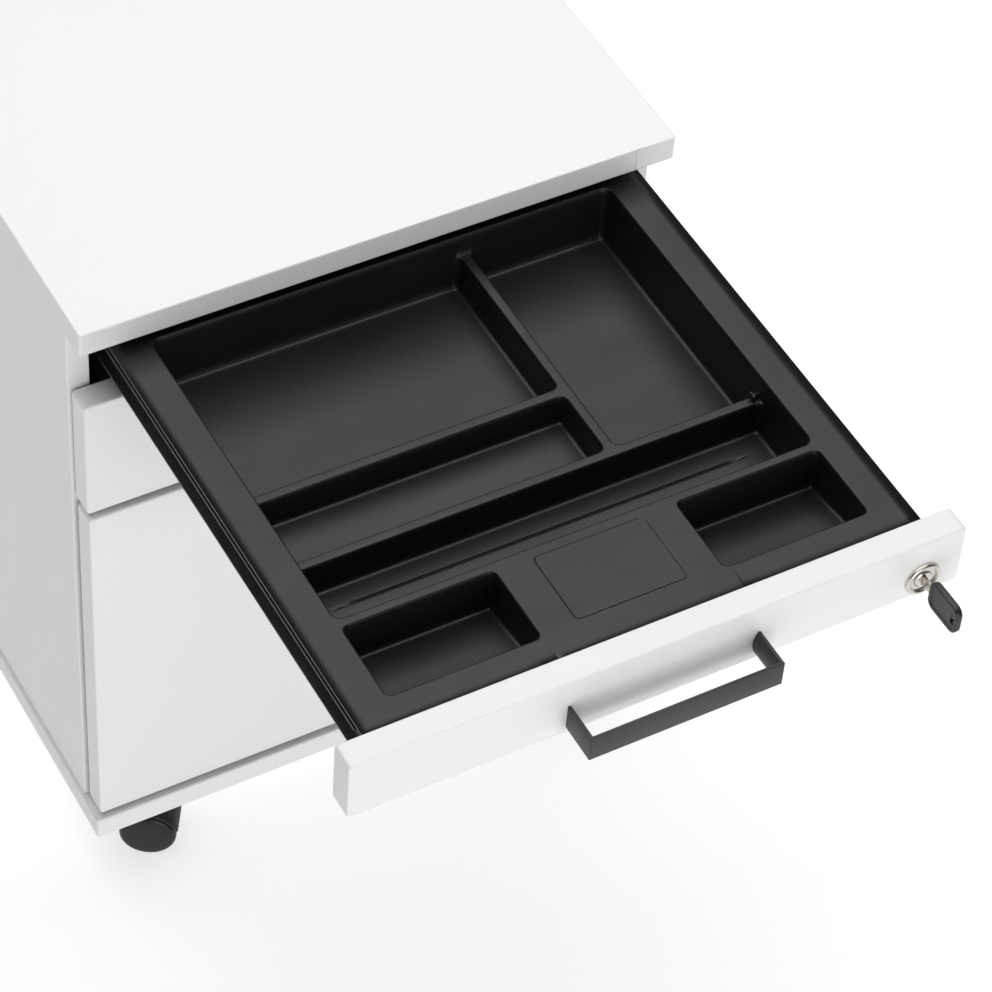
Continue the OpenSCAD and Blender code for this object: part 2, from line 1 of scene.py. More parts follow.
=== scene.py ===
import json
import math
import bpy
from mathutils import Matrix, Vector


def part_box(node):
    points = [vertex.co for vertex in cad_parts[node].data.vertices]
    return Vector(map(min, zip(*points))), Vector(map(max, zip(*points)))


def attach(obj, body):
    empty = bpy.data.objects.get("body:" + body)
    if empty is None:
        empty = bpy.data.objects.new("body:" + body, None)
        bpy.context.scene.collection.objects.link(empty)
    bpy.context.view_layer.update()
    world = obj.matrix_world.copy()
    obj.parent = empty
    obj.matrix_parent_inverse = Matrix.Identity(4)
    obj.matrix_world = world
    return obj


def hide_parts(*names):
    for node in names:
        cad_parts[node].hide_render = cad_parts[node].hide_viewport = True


bl_info = {
    "name": "Mobile Office Pedestal",
    "version": (1, 0, 0),
    "blender": (4, 5, 0),
    "location": "View3D > Sidebar > Pedestal",
    "description": "Builds a white office pedestal with three drawers on castors",
    "category": "Object",
}

import bmesh
import bpy
from bpy.props import FloatProperty, FloatVectorProperty, PointerProperty
from mathutils import Matrix, Vector

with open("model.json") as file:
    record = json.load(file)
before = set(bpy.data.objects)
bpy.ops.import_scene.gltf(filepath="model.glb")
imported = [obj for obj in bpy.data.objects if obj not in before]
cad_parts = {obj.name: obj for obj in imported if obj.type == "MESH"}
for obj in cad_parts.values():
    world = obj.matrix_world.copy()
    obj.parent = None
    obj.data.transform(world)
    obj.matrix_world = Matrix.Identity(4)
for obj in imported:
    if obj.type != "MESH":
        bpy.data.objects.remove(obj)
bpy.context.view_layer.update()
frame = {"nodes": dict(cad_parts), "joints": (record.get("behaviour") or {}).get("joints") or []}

X, Y, Z = 0, 1, 2
DRAWER_OF = {1: "pencil_drawer", 2: "box_drawer", 3: "file_drawer"}
CASTORS = ("fl", "fr", "bl", "br")


# ---------------------------------------------------------------- settings


def length(name, description, default, smallest=0.0, largest=1.0):
    """A length in metres, shown in the scene's units."""
    return FloatProperty(
        name=name,
        description=description,
        default=default,
        min=smallest,
        max=largest,
        subtype="DISTANCE",
        unit="LENGTH",
        precision=4,
    )


def shade(name, description, default):
    """A colour, stored as linear red, green and blue."""
    return FloatVectorProperty(
        name=name, description=description, default=default, size=3, min=0, max=1, subtype="COLOR"
    )


class PedestalSizes(bpy.types.PropertyGroup):
    """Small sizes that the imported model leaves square"""

    corner: length("Board corner", "Radius of a board's corners seen face on", 0.0026)
    arris: length("Board arris", "Radius of the edges round a board's faces", 0.0013)
    tray_top: length("Tray edge", "Radius where the tray's walls leave its rim", 0.0014)
    tray_fillet: length("Tray fillet", "Radius where the tray's walls meet its floors", 0.0032)
    tray_corner: length("Tray corner", "Radius of the tray's pockets seen from above", 0.0065)
    tray_draft: FloatProperty(
        name="Tray draft",
        description="Lean of the tray's walls from the vertical",
        default=math.radians(4),
        min=0.01,
        max=0.5,
        subtype="ANGLE",
    )
    bend: length("Sheet bend", "Radius of the bends in the slides and drawer boxes", 0.0014)
    metal_edge: length("Metal edge", "Softening of small metal edges", 0.0004)


class PedestalColours(bpy.types.PropertyGroup):
    """Colours of the pedestal's finishes"""

    board: shade("Boards", "White melamine faces", (0.82, 0.82, 0.81))
    band: shade("Edge band", "Plastic band round the boards' edges", (0.80, 0.80, 0.785))
    tray: shade("Tray", "Moulded plastic of the pencil tray", (0.0070, 0.0064, 0.0076))
    handle: shade("Handles", "Matt black coat of the handles", (0.024, 0.024, 0.025))
    slide: shade("Pencil drawer slides", "Dark coat of the top slides", (0.035, 0.034, 0.034))
    box: shade("Drawer boxes", "Coat of the two lower drawer boxes", (0.055, 0.056, 0.06))
    castor: shade("Castors", "Black nylon of the castors", (0.008, 0.0078, 0.008))
    zinc: shade("Zinc", "Zinc-plated steel of screws and slides", (0.56, 0.57, 0.60))
    nickel: shade("Nickel", "Nickel plate of the lock", (0.66, 0.63, 0.58))


def sizes():
    """The scene's size settings."""
    return bpy.context.scene.pedestal_sizes


def colours():
    """The scene's colour settings."""
    return bpy.context.scene.pedestal_colours


# ---------------------------------------------------------------- shader groups


def new_group(name, inputs, outputs):
    """An empty shader node group with its sockets; returns the tree and its two end nodes."""
    tree = bpy.data.node_groups.new(name, "ShaderNodeTree")
    for label, kind, value in inputs:
        socket = tree.interface.new_socket(label, in_out="INPUT", socket_type=kind)
        if value is not None:
            socket.default_value = value
    for label, kind in outputs:
        tree.interface.new_socket(label, in_out="OUTPUT", socket_type=kind)
    return tree, tree.nodes.new("NodeGroupInput"), tree.nodes.new("NodeGroupOutput")


def noise(tree, vector, scale, detail=3.0, roughness=0.55):
    """A noise texture on a vector socket, with a fixed or linked scale."""
    node = tree.nodes.new("ShaderNodeTexNoise")
    tree.links.new(vector, node.inputs["Vector"])
    if isinstance(scale, (int, float)):
        node.inputs["Scale"].default_value = scale
    else:
        tree.links.new(scale, node.inputs["Scale"])
    node.inputs["Detail"].default_value = detail
    node.inputs["Roughness"].default_value = roughness
    return node.outputs["Fac"]


def mapped(tree, value, low, high, start, end):
    """A value moved from low-high to the range start-end; the ends may be sockets."""
    node = tree.nodes.new("ShaderNodeMapRange")
    tree.links.new(value, node.inputs["Value"])
    node.inputs["From Min"].default_value = low
    node.inputs["From Max"].default_value = high
    for label, end_value in (("To Min", start), ("To Max", end)):
        if isinstance(end_value, (int, float)):
            node.inputs[label].default_value = end_value
        else:
            tree.links.new(end_value, node.inputs[label])
    return node.outputs["Result"]


def grain_group():
    """Fine pebbled surface, as on laminate, moulded plastic and powder coat: puts out a height."""
    found = bpy.data.node_groups.get("Pebble grain")
    if found:
        return found
    tree, start, end = new_group(
        "Pebble grain",
        [("Vector", "NodeSocketVector", None), ("Scale", "NodeSocketFloat", 1500.0)],
        [("Height", "NodeSocketFloat")],
    )
    cells = tree.nodes.new("ShaderNodeTexVoronoi")
    cells.feature = "SMOOTH_F1"
    tree.links.new(start.outputs["Vector"], cells.inputs["Vector"])
    tree.links.new(start.outputs["Scale"], cells.inputs["Scale"])
    fine = noise(tree, start.outputs["Vector"], start.outputs["Scale"], 2.0)
    mix = tree.nodes.new("ShaderNodeMath")
    mix.operation = "MULTIPLY_ADD"
    mix.inputs[1].default_value = 0.5
    tree.links.new(cells.outputs["Distance"], mix.inputs[0])
    tree.links.new(fine, mix.inputs[2])
    tree.links.new(mix.outputs[0], end.inputs["Height"])
    return tree


def drift_group():
    """Slow change of a colour over a surface, between a light and a dark version of it."""
    found = bpy.data.node_groups.get("Colour drift")
    if found:
        return found
    tree, start, end = new_group(
        "Colour drift",
        [
            ("Vector", "NodeSocketVector", None),
            ("Scale", "NodeSocketFloat", 6.0),
            ("Light", "NodeSocketColor", (1, 1, 1, 1)),
            ("Dark", "NodeSocketColor", (0, 0, 0, 1)),
        ],
        [("Color", "NodeSocketColor")],
    )
    cloud = noise(tree, start.outputs["Vector"], start.outputs["Scale"], 4.0)
    mix = tree.nodes.new("ShaderNodeMix")
    mix.data_type = "RGBA"
    tree.links.new(mapped(tree, cloud, 0.3, 0.7, 0.0, 1.0), mix.inputs["Factor"])
    tree.links.new(start.outputs["Light"], mix.inputs["A"])
    tree.links.new(start.outputs["Dark"], mix.inputs["B"])
    tree.links.new(mix.outputs["Result"], end.inputs["Color"])
    return tree


def handling_group():
    """Uneven gloss from handling and wiping: puts out a roughness between two values."""
    found = bpy.data.node_groups.get("Handling marks")
    if found:
        return found
    tree, start, end = new_group(
        "Handling marks",
        [
            ("Vector", "NodeSocketVector", None),
            ("Scale", "NodeSocketFloat", 14.0),
            ("Smooth", "NodeSocketFloat", 0.3),
            ("Rough", "NodeSocketFloat", 0.5),
        ],
        [("Roughness", "NodeSocketFloat")],
    )
    stretch = tree.nodes.new("ShaderNodeMapping")
    stretch.inputs["Scale"].default_value = (1.0, 2.2, 1.4)
    tree.links.new(start.outputs["Vector"], stretch.inputs["Vector"])
    cloud = noise(tree, stretch.outputs["Vector"], start.outputs["Scale"], 6.0, 0.65)
    value = mapped(tree, cloud, 0.32, 0.68, start.outputs["Smooth"], start.outputs["Rough"])
    tree.links.new(value, end.inputs["Roughness"])
    return tree


# ---------------------------------------------------------------- materials


def use_group(tree, group, vector, **values):
    """Places a node group, feeds it the vector and sets its named values."""
    node = tree.nodes.new("ShaderNodeGroup")
    node.node_tree = group
    tree.links.new(vector, node.inputs["Vector"])
    for label, value in values.items():
        node.inputs[label].default_value = value
    return node


def surface(name, colour, drift, gloss, grain, metallic=0.0, shine=0.5):
    """A finish: its colour with a drift to dark, a gloss range and a pebble grain.

    drift is (scale, how much darker), gloss is (smooth, rough) and grain is (scale, depth).
    """
    material = bpy.data.materials.new(name)
    material.use_nodes = True
    tree = material.node_tree
    body = tree.nodes["Principled BSDF"]
    vector = tree.nodes.new("ShaderNodeTexCoord").outputs["Object"]
    dark = [c * (1 - drift[1]) for c in colour]
    paint = use_group(
        tree, drift_group(), vector, Scale=drift[0], Light=(*colour, 1), Dark=(*dark, 1)
    )
    tree.links.new(paint.outputs["Color"], body.inputs["Base Color"])
    marks = use_group(tree, handling_group(), vector, Smooth=gloss[0], Rough=gloss[1])
    tree.links.new(marks.outputs["Roughness"], body.inputs["Roughness"])
    pebble = use_group(tree, grain_group(), vector, Scale=grain[0])
    bump = tree.nodes.new("ShaderNodeBump")
    bump.inputs["Strength"].default_value = 1.0
    bump.inputs["Distance"].default_value = grain[1]
    tree.links.new(pebble.outputs["Height"], bump.inputs["Height"])
    tree.links.new(bump.outputs["Normal"], body.inputs["Normal"])
    body.inputs["Metallic"].default_value = metallic
    body.inputs["Specular IOR Level"].default_value = shine
    return material


def made(name, build):
    """The named material, built the first time it is asked for."""
    return bpy.data.materials.get(name) or build()


def melamine():
    """Faces of the white boards."""
    return made("White melamine", lambda: surface(
        "White melamine", colours().board, (3.0, 0.012), (0.38, 0.46), (900.0, 0.00002)))


def edge_band():
    """Plastic band round the boards, a little smoother and creamier than the faces."""
    return made("Edge band", lambda: surface(
        "Edge band", colours().band, (9.0, 0.02), (0.28, 0.36), (1600.0, 0.00001)))


def tray_plastic():
    """Charcoal moulded plastic with a fine spark-eroded texture."""
    return made("Tray plastic", lambda: surface(
        "Tray plastic", colours().tray, (11.0, 0.10), (0.36, 0.44), (1500.0, 0.00005), 0.0, 0.42))


def handle_black():
    """Matt black powder coat."""
    return made("Handle coat", lambda: surface(
        "Handle coat", colours().handle, (30.0, 0.12), (0.42, 0.55), (2200.0, 0.00004)))


def slide_black():
    """Dark coat of the pencil drawer's slides."""
    return made("Slide coat", lambda: surface(
        "Slide coat", colours().slide, (18.0, 0.2), (0.32, 0.48), (1800.0, 0.00002), 0.35))


def box_coat():
    """Coat of the lower drawer boxes."""
    return made("Box coat", lambda: surface(
        "Box coat", colours().box, (7.0, 0.1), (0.34, 0.48), (1400.0, 0.00003)))


def castor_nylon():
    """Glossy black nylon."""
    return made("Castor nylon", lambda: surface(
        "Castor nylon", colours().castor, (25.0, 0.2), (0.34, 0.46), (1200.0, 0.00003), 0.0, 0.3))


def key_plastic():
    """Black plastic of the key's bow."""
    return made("Key plastic", lambda: surface(
        "Key plastic", colours().castor, (60.0, 0.2), (0.30, 0.45), (2500.0, 0.00003)))


def buffer_rubber():
    """Clear grey soft buffers."""
    return made("Buffer rubber", lambda: surface(
        "Buffer rubber", (0.55, 0.55, 0.54), (50.0, 0.1), (0.5, 0.65), (3000.0, 0.00002)))


def zinc():
    """Zinc-plated steel."""
    return made("Zinc plate", lambda: surface(
        "Zinc plate", colours().zinc, (40.0, 0.18), (0.26, 0.46), (900.0, 0.00001), 1.0))


def nickel():
    """Nickel plate, brushed by turning."""
    return made("Nickel plate", lambda: surface(
        "Nickel plate", colours().nickel, (80.0, 0.10), (0.18, 0.34), (1800.0, 0.00001), 1.0))


# ---------------------------------------------------------------- mesh tools


def new_piece(name, mesh):
    """An object in the scene for a bmesh or a mesh, at the origin."""
    if isinstance(mesh, bmesh.types.BMesh):
        data = bpy.data.meshes.new(name)
        mesh.to_mesh(data)
        mesh.free()
    else:
        data = mesh
    piece = bpy.data.objects.new(name, data)
    bpy.context.scene.collection.objects.link(piece)
    return piece


def settle(piece):
    """Applies the piece's modifiers to its mesh."""
    bpy.context.view_layer.update()
    graph = bpy.context.evaluated_depsgraph_get()
    data = bpy.data.meshes.new_from_object(piece.evaluated_get(graph), depsgraph=graph)
    old = piece.data
    piece.modifiers.clear()
    piece.data = data
    data.name = piece.name
    if old.users == 0:
        bpy.data.meshes.remove(old)
    return piece


def merged(parts):
    """One bmesh from several."""
    whole = bmesh.new()
    for part in parts:
        data = bpy.data.meshes.new("part")
        part.to_mesh(data)
        part.free()
        whole.from_mesh(data)
        bpy.data.meshes.remove(data)
    return whole


def join_pieces(name, pieces):
    """One piece from several."""
    joined = bmesh.new()
    for piece in pieces:
        joined.from_mesh(piece.data)
        bpy.data.objects.remove(piece)
    return new_piece(name, joined)


def dress(piece, body, slot, nodes, *materials):
    """Gives a finished piece its materials and its body, and hides the nodes that it replaces; slot
    is not used.
    """
    if materials:
        piece.data.materials.clear()
    for material in materials:
        piece.data.materials.append(material)
    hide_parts(*nodes)
    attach(piece, body)
    return piece


def colour_node(node, material):
    """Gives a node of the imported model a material."""
    for place in frame["nodes"][node].material_slots:
        place.material = material


def smooth_faces(mesh, flat_above):
    """Smooth shading for every face of a bmesh that is smaller than flat_above."""
    for face in mesh.faces:
        face.smooth = face.calc_area() < flat_above


def cuboid(low, high):
    """A bmesh box between two corners."""
    mesh = bmesh.new()
    bmesh.ops.create_cube(mesh, size=1)
    bmesh.ops.scale(mesh, vec=Vector(high) - Vector(low), verts=mesh.verts)
    bmesh.ops.translate(mesh, vec=(Vector(high) + Vector(low)) / 2, verts=mesh.verts)
    return mesh


def turned(profile, centre, axis, steps=48):
    """A shape turned about an axis through centre; the profile is (radius, place along axis)."""
    mesh = bmesh.new()
    rings = []
    for radius, place in profile:
        if radius == 0:
            rings.append([mesh.verts.new((0, 0, place))])
            continue
        angles = [2 * math.pi * i / steps for i in range(steps)]
        rings.append([mesh.verts.new((radius * math.cos(a), radius * math.sin(a), place))
                      for a in angles])
    for low, high in zip(rings, rings[1:]):
        for i in range(steps):
            j = (i + 1) % steps
            corners = [low[i % len(low)], low[j % len(low)],
                       high[j % len(high)], high[i % len(high)]]
            corners = [c for k, c in enumerate(corners) if c not in corners[:k]]
            if len(corners) > 2:
                mesh.faces.new(corners)
    for face in mesh.faces:
        face.smooth = True
    bmesh.ops.recalc_face_normals(mesh, faces=mesh.faces)
    turn = Vector((0, 0, 1)).rotation_difference(Vector(axis)).to_matrix().to_4x4()
    bmesh.ops.transform(mesh, matrix=Matrix.Translation(centre) @ turn, verts=mesh.verts)
    sharpen(mesh, 35)
    return mesh


def sharpen(mesh, degrees):
    """Marks the edges of a bmesh that turn by more than an angle as sharp."""
    for edge in mesh.edges:
        if len(edge.link_faces) == 2 and edge.calc_face_angle(0) > math.radians(degrees):
            edge.smooth = False


def cut_away(piece, cutters):
    """Cuts closed bmeshes out of a piece."""
    for cutter in cutters:
        tool = new_piece("cutter", cutter)
        cut = piece.modifiers.new("cut", "BOOLEAN")
        cut.operation, cut.object, cut.solver = "DIFFERENCE", tool, "EXACT"
        settle(piece)
        bpy.data.objects.remove(tool)
    return piece


def softened(name, node, width, segments=2):
    """A copy of a node's solid with its edges softened."""
    mesh = bmesh.new()
    mesh.from_mesh(frame["nodes"][node].data)
    bmesh.ops.remove_doubles(mesh, verts=mesh.verts, dist=1e-6)
    bmesh.ops.dissolve_limit(
        mesh, angle_limit=math.radians(0.6), verts=mesh.verts, edges=mesh.edges
    )
    piece = new_piece(name, mesh)
    piece.data.materials.clear()
    soft = piece.modifiers.new("soft", "BEVEL")
    soft.width, soft.segments, soft.limit_method = width, segments, "ANGLE"
    soft.angle_limit, soft.use_clamp_overlap = math.radians(40), True
    settle(piece)
    mesh = bmesh.new()
    mesh.from_mesh(piece.data)
    for face in mesh.faces:
        face.smooth = True
    sharpen(mesh, 32)
    mesh.to_mesh(piece.data)
    mesh.free()
    return piece


def bent(points, radius, steps=4):
    """A 2D path with its inner corners rounded."""
    path = [Vector(points[0])]
    for before, corner, after in zip(points, points[1:], points[2:]):
        before, corner, after = Vector(before), Vector(corner), Vector(after)
        into, out = (before - corner).normalized(), (after - corner).normalized()
        half = into.angle(out) / 2
        reach = radius / math.tan(half)
        middle = corner + (into + out).normalized() * (radius / math.sin(half))
        start, end = corner + into * reach - middle, corner + out * reach - middle
        sweep = math.pi - 2 * half
        for i in range(steps + 1):
            share = i / steps
            a = math.sin((1 - share) * sweep) / math.sin(sweep)
            b = math.sin(share * sweep) / math.sin(sweep)
            path.append(middle + start * a + end * b)
    path.append(Vector(points[-1]))
    return path


def sheet_outline(points, radius, thickness):
    """Closed outline of bent sheet metal; the points are on its right-hand face."""
    path = bent(points, radius)
    offset = []
    for i, point in enumerate(path):
        before = path[max(i - 1, 0)]
        after = path[min(i + 1, len(path) - 1)]
        run = (after - before).normalized()
        offset.append(point + Vector((-run.y, run.x)) * thickness)
    return path + offset[::-1]


def extruded(outline, near, far):
    """A bmesh prism along Y of an outline in X and Z."""
    mesh = bmesh.new()
    ends = [[mesh.verts.new((p.x, y, p.y)) for p in outline] for y in (near, far)]
    count = len(outline)
    half = count // 2
    for i in range(count):
        j = (i + 1) % count
        face = mesh.faces.new((ends[0][i], ends[0][j], ends[1][j], ends[1][i]))
        face.smooth = True
    for end in ends:
        for i in range(half - 1):
            mesh.faces.new((end[i], end[i + 1], end[count - 2 - i], end[count - 1 - i]))
    bmesh.ops.recalc_face_normals(mesh, faces=mesh.faces)
    sharpen(mesh, 40)
    return mesh


def both_sides(mesh):
    """Adds the mirror image in X = 0 to a bmesh."""
    copy = bmesh.ops.duplicate(mesh, geom=mesh.verts[:] + mesh.edges[:] + mesh.faces[:])
    verts = [v for v in copy["geom"] if isinstance(v, bmesh.types.BMVert)]
    faces = [f for f in copy["geom"] if isinstance(f, bmesh.types.BMFace)]
    bmesh.ops.scale(mesh, vec=(-1, 1, 1), verts=verts)
    bmesh.ops.reverse_faces(mesh, faces=faces)
    sharpen(mesh, 40)
    return mesh


# ---------------------------------------------------------------- boards and fronts


def board(name, node, thin):
    """A board with its corners and arrises rounded; its faces and its edge band differ."""
    low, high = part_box(node)
    mesh = cuboid(low, high)
    upright = [e for e in mesh.edges
               if abs((e.verts[0].co - e.verts[1].co).normalized()[thin]) > 0.9]
    bmesh.ops.bevel(mesh, geom=upright, offset=sizes().corner, segments=4, profile=0.5,
                    affect="EDGES", clamp_overlap=True)
    rims = [e for e in mesh.edges
            if sorted(abs(f.normal[thin]) > 0.9 for f in e.link_faces) == [False, True]]
    bmesh.ops.bevel(mesh, geom=rims, offset=sizes().arris, segments=3, profile=0.5,
                    affect="EDGES", clamp_overlap=True)
    for face in mesh.faces:
        face.material_index = 0 if abs(face.normal[thin]) > 0.98 else 1
    smooth_faces(mesh, 0.0015)
    return new_piece(name, mesh)


def front_parts(number):
    """A drawer front, with the hole for the lock in the top one."""
    node = f"front_{number}"
    housing_wall = 0.00308
    piece = board(f"drawer_front_{number}", node, Y)
    if number == 1:
        low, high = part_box("lock_housing")
        middle = (low + high) / 2
        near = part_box(node)[0]
        plug_low, plug_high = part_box("lock_plug")
        hole = (plug_high.x - plug_low.x) / 2 + housing_wall
        tube = turned(((0, 0), (hole, 0), (hole, 0.03), (0, 0.03)),
                      (middle.x, near.y - 0.005, middle.z), (0, 1, 0))
        cut_away(piece, [tube])
    return dress(piece, DRAWER_OF[number], "white_board", [node], melamine(), edge_band())


class PEDESTAL_OT_carcass(bpy.types.Operator):
    """Top, bottom, side and back panels"""

    bl_idname = "pedestal.carcass"
    bl_label = "Carcass boards"

    def execute(self, context):
        for node, thin in (("top_panel", Z), ("bottom_panel", Z), ("side_left", X),
                           ("back_panel", Y), ("side_right", X)):
            piece = board(f"{node}_board", node, thin)
            if node == "side_right":
                self.groove(piece)
            if node == "top_panel":
                self.joint(piece)
            dress(piece, "cabinet", "white_board", [node], melamine(), edge_band())
        return {"FINISHED"}

    def joint(self, piece):
        """Butt joint of the edge band near the right end of the front edge."""
        low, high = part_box("top_panel")
        x, seam, clear = high.x - 0.0305, 0.0005, 0.001
        cut_away(piece, [cuboid((x, low.y - clear, low.z - clear),
                                (x + seam, low.y + seam, high.z + clear))])

    def groove(self, piece):
        """Groove in which the locking bar runs."""
        low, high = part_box("lock_bar")
        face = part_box("side_right")[0].x
        reach, back = high.x + 0.0008, high.y + 0.0006
        start = (face - 0.01, back - 0.008, low.z - 0.01)
        end = (reach, back, high.z + 0.0115)
        cut_away(piece, [cuboid(start, end)])


class PEDESTAL_OT_fronts(bpy.types.Operator):
    """The three drawer fronts"""

    bl_idname = "pedestal.fronts"
    bl_label = "Drawer fronts"

    def execute(self, context):
        for number in DRAWER_OF:
            front_parts(number)
        return {"FINISHED"}


# ---------------------------------------------------------------- handles


def handle_outline(low, high, thick):
    """Half-round section of the strip: (depth from its outer face, height), a little eased."""
    half = (high.z - low.z) / 2
    crown = thick - 0.002
    bow = (half * half + crown * crown) / (2 * crown)
    ease = 0.0006
    outline = [(ease, -half), (0.0002, -half + 0.0002), (0, -half + ease),
               (0, half - ease), (0.0002, half - 0.0002), (ease, half)]
    steps = 12
    for i in range(steps + 1):
        height = half * (1 - 2 * i / steps)
        depth = thick - bow + math.sqrt(bow * bow - height * height)
        outline.append((max(depth, 0.0016), height * 0.998))
    return outline


class PEDESTAL_OT_handles(bpy.types.Operator):
    """The three bow handles, each one strip with mitred corners"""

    bl_idname = "pedestal.handles"
    bl_label = "Handles"

    def execute(self, context):
        for number in DRAWER_OF:
            self.handle(number)
        return {"FINISHED"}

    def handle(self, number):
        """One handle, following its node's box."""
        node = f"handle_{number}"
        low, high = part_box(node)
        middle = (low.z + high.z) / 2
        outline = handle_outline(low, high, 0.005)
        mesh = bmesh.new()
        stations = []
        for side, foot in ((low.x, True), (low.x, False), (high.x, False), (high.x, True)):
            inward = 1 if side == low.x else -1
            ring = []
            for depth, height in outline:
                y = high.y if foot else low.y + depth
                ring.append(mesh.verts.new((side + inward * depth, y, middle + height)))
            stations.append(ring)
        count = len(outline)
        for near, far in zip(stations, stations[1:]):
            for i in range(count):
                j = (i + 1) % count
                face = mesh.faces.new((near[i], near[j], far[j], far[i]))
                face.smooth = True
        mesh.faces.new(stations[0])
        mesh.faces.new(stations[-1])
        bmesh.ops.recalc_face_normals(mesh, faces=mesh.faces)
        sharpen(mesh, 38)
        piece = new_piece(f"bow_handle_{number}", mesh)
        soft = piece.modifiers.new("mitre", "BEVEL")
        soft.width, soft.segments, soft.limit_method = 0.00045, 2, "ANGLE"
        soft.angle_limit = math.radians(50)
        settle(piece)
        dress(piece, DRAWER_OF[number], "handle_coat", [node], handle_black())


# ---------------------------------------------------------------- lock and key


class PEDESTAL_OT_lock(bpy.types.Operator):
    """Lock housing with its rosette, the plug and its cam, and the key"""

    bl_idname = "pedestal.lock"
    bl_label = "Lock and key"

    def execute(self, context):
        low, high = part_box("lock_plug")
        self.centre = Vector(((low.x + high.x) / 2, 0, (low.z + high.z) / 2))
        self.plug_r = (high.x - low.x) / 2
        self.housing()
        self.plug()
        self.key()
        return {"FINISHED"}

    def housing(self):
        """Tube through the front and a dished rosette on its face."""
        low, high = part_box("lock_housing")
        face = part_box("front_1")[0].y
        bore, tube, rim = self.plug_r + 0.00005, 0.009, (high.x - low.x) / 2
        front = low.y
        profile = (
            (bore, high.y), (tube, high.y), (tube, face), (rim, face), (rim, front + 0.0012),
            (rim - 0.0005, front + 0.0004), (rim - 0.0013, front), (0.0101, front),
            (0.0095, front + 0.0005), (0.0092, front + 0.0017), (bore + 0.0004, front + 0.0018),
            (bore, front + 0.0022), (bore, high.y),
        )
        mesh = turned(profile, self.centre, (0, 1, 0), 64)
        bmesh.ops.remove_doubles(mesh, verts=mesh.verts, dist=1e-7)
        rosette = new_piece("lock_rosette", mesh)
        dress(rosette, "pencil_drawer", "nickel", ["lock_housing"], nickel())

    def plug(self):
        """Plug with its keyway, and the cam behind it."""
        low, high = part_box("lock_plug")
        r = self.plug_r
        profile = ((0, low.y), (r - 0.0006, low.y), (r, low.y + 0.0005), (r, high.y), (0, high.y))
        piece = new_piece("lock_plug_turned", turned(profile, self.centre, (0, 1, 0), 64))
        key_low, key_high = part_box("key_blade")
        gap = Vector((0.0003, 0, 0.0006))
        slot_low = Vector((key_low.x, low.y - 0.01, key_low.z)) - gap
        slot_high = Vector((key_high.x, key_high.y + 0.002, key_high.z)) + gap
        cut_away(piece, [cuboid(slot_low, slot_high)])
        dress(piece, "lock", "nickel", ["lock_plug"], nickel())
        cam = softened("lock_cam_plate", "lock_cam", sizes().metal_edge)
        dress(cam, "lock", "zinc_steel", ["lock_cam"], zinc())

    def key(self):
        """Blade with its cuts and a plastic bow with a sunk panel and a slot for a ring."""
        low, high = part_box("key_blade")
        tooth = 0.0035
        blade = new_piece("key_blade_cut", cuboid(low, high))
        cuts = []
        for i, depth in enumerate((0.0012, 0.0021, 0.0007, 0.0016, 0.0010)):
            y = high.y - 0.004 - i * tooth
            cuts.append(cuboid((low.x - 0.001, y - 0.0021, high.z - depth),
                               (high.x + 0.001, y, high.z + 0.001)))
        cut_away(blade, cuts)
        soft = blade.modifiers.new("soft", "BEVEL")
        soft.width, soft.segments = 0.0002, 2
        settle(blade)
        dress(blade, "key", "nickel", ["key_blade"], nickel())
        self.bow()

    def bow(self):
        """Rounded bow, thicker round its edge than in the middle."""
        low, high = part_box("key_bow")
        span = high - low
        mesh = cuboid(low, high)
        across = [e for e in mesh.edges if abs(e.verts[0].co.x - e.verts[1].co.x) > span.x / 2]
        bmesh.ops.bevel(mesh, geom=across, offset=0.0062, segments=8, profile=0.5, affect="EDGES")
        rims = [e for e in mesh.edges
                if sorted(abs(f.normal.x) > 0.9 for f in e.link_faces) == [False, True]]
        bmesh.ops.bevel(mesh, geom=rims, offset=0.0009, segments=3, profile=0.5, affect="EDGES")
        faces = [f for f in mesh.faces if abs(f.normal.x) > 0.99]
        for face in faces:
            out = face.normal.copy()
            bmesh.ops.inset_region(mesh, faces=[face], thickness=0.0016)
            bmesh.ops.inset_region(mesh, faces=[face], thickness=0.0004)
            bmesh.ops.translate(mesh, vec=-out * 0.0006, verts=face.verts)
        for face in mesh.faces:
            face.smooth = True
        sharpen(mesh, 35)
        piece = new_piece("key_bow_moulded", mesh)
        middle = (low + high) / 2
        hole = cuboid((low.x - 0.002, low.y + 0.0032, middle.z - 0.0045),
                      (high.x + 0.002, low.y + 0.0068, middle.z + 0.0045))
        ends = [e for e in hole.edges if abs(e.verts[0].co.x - e.verts[1].co.x) > span.x]
        bmesh.ops.bevel(hole, geom=ends, offset=0.0017, segments=5, profile=0.5, affect="EDGES")
        cut_away(piece, [hole])
        dress(piece, "key", "key_plastic", ["key_bow"], key_plastic())


# ---------------------------------------------------------------- pencil tray


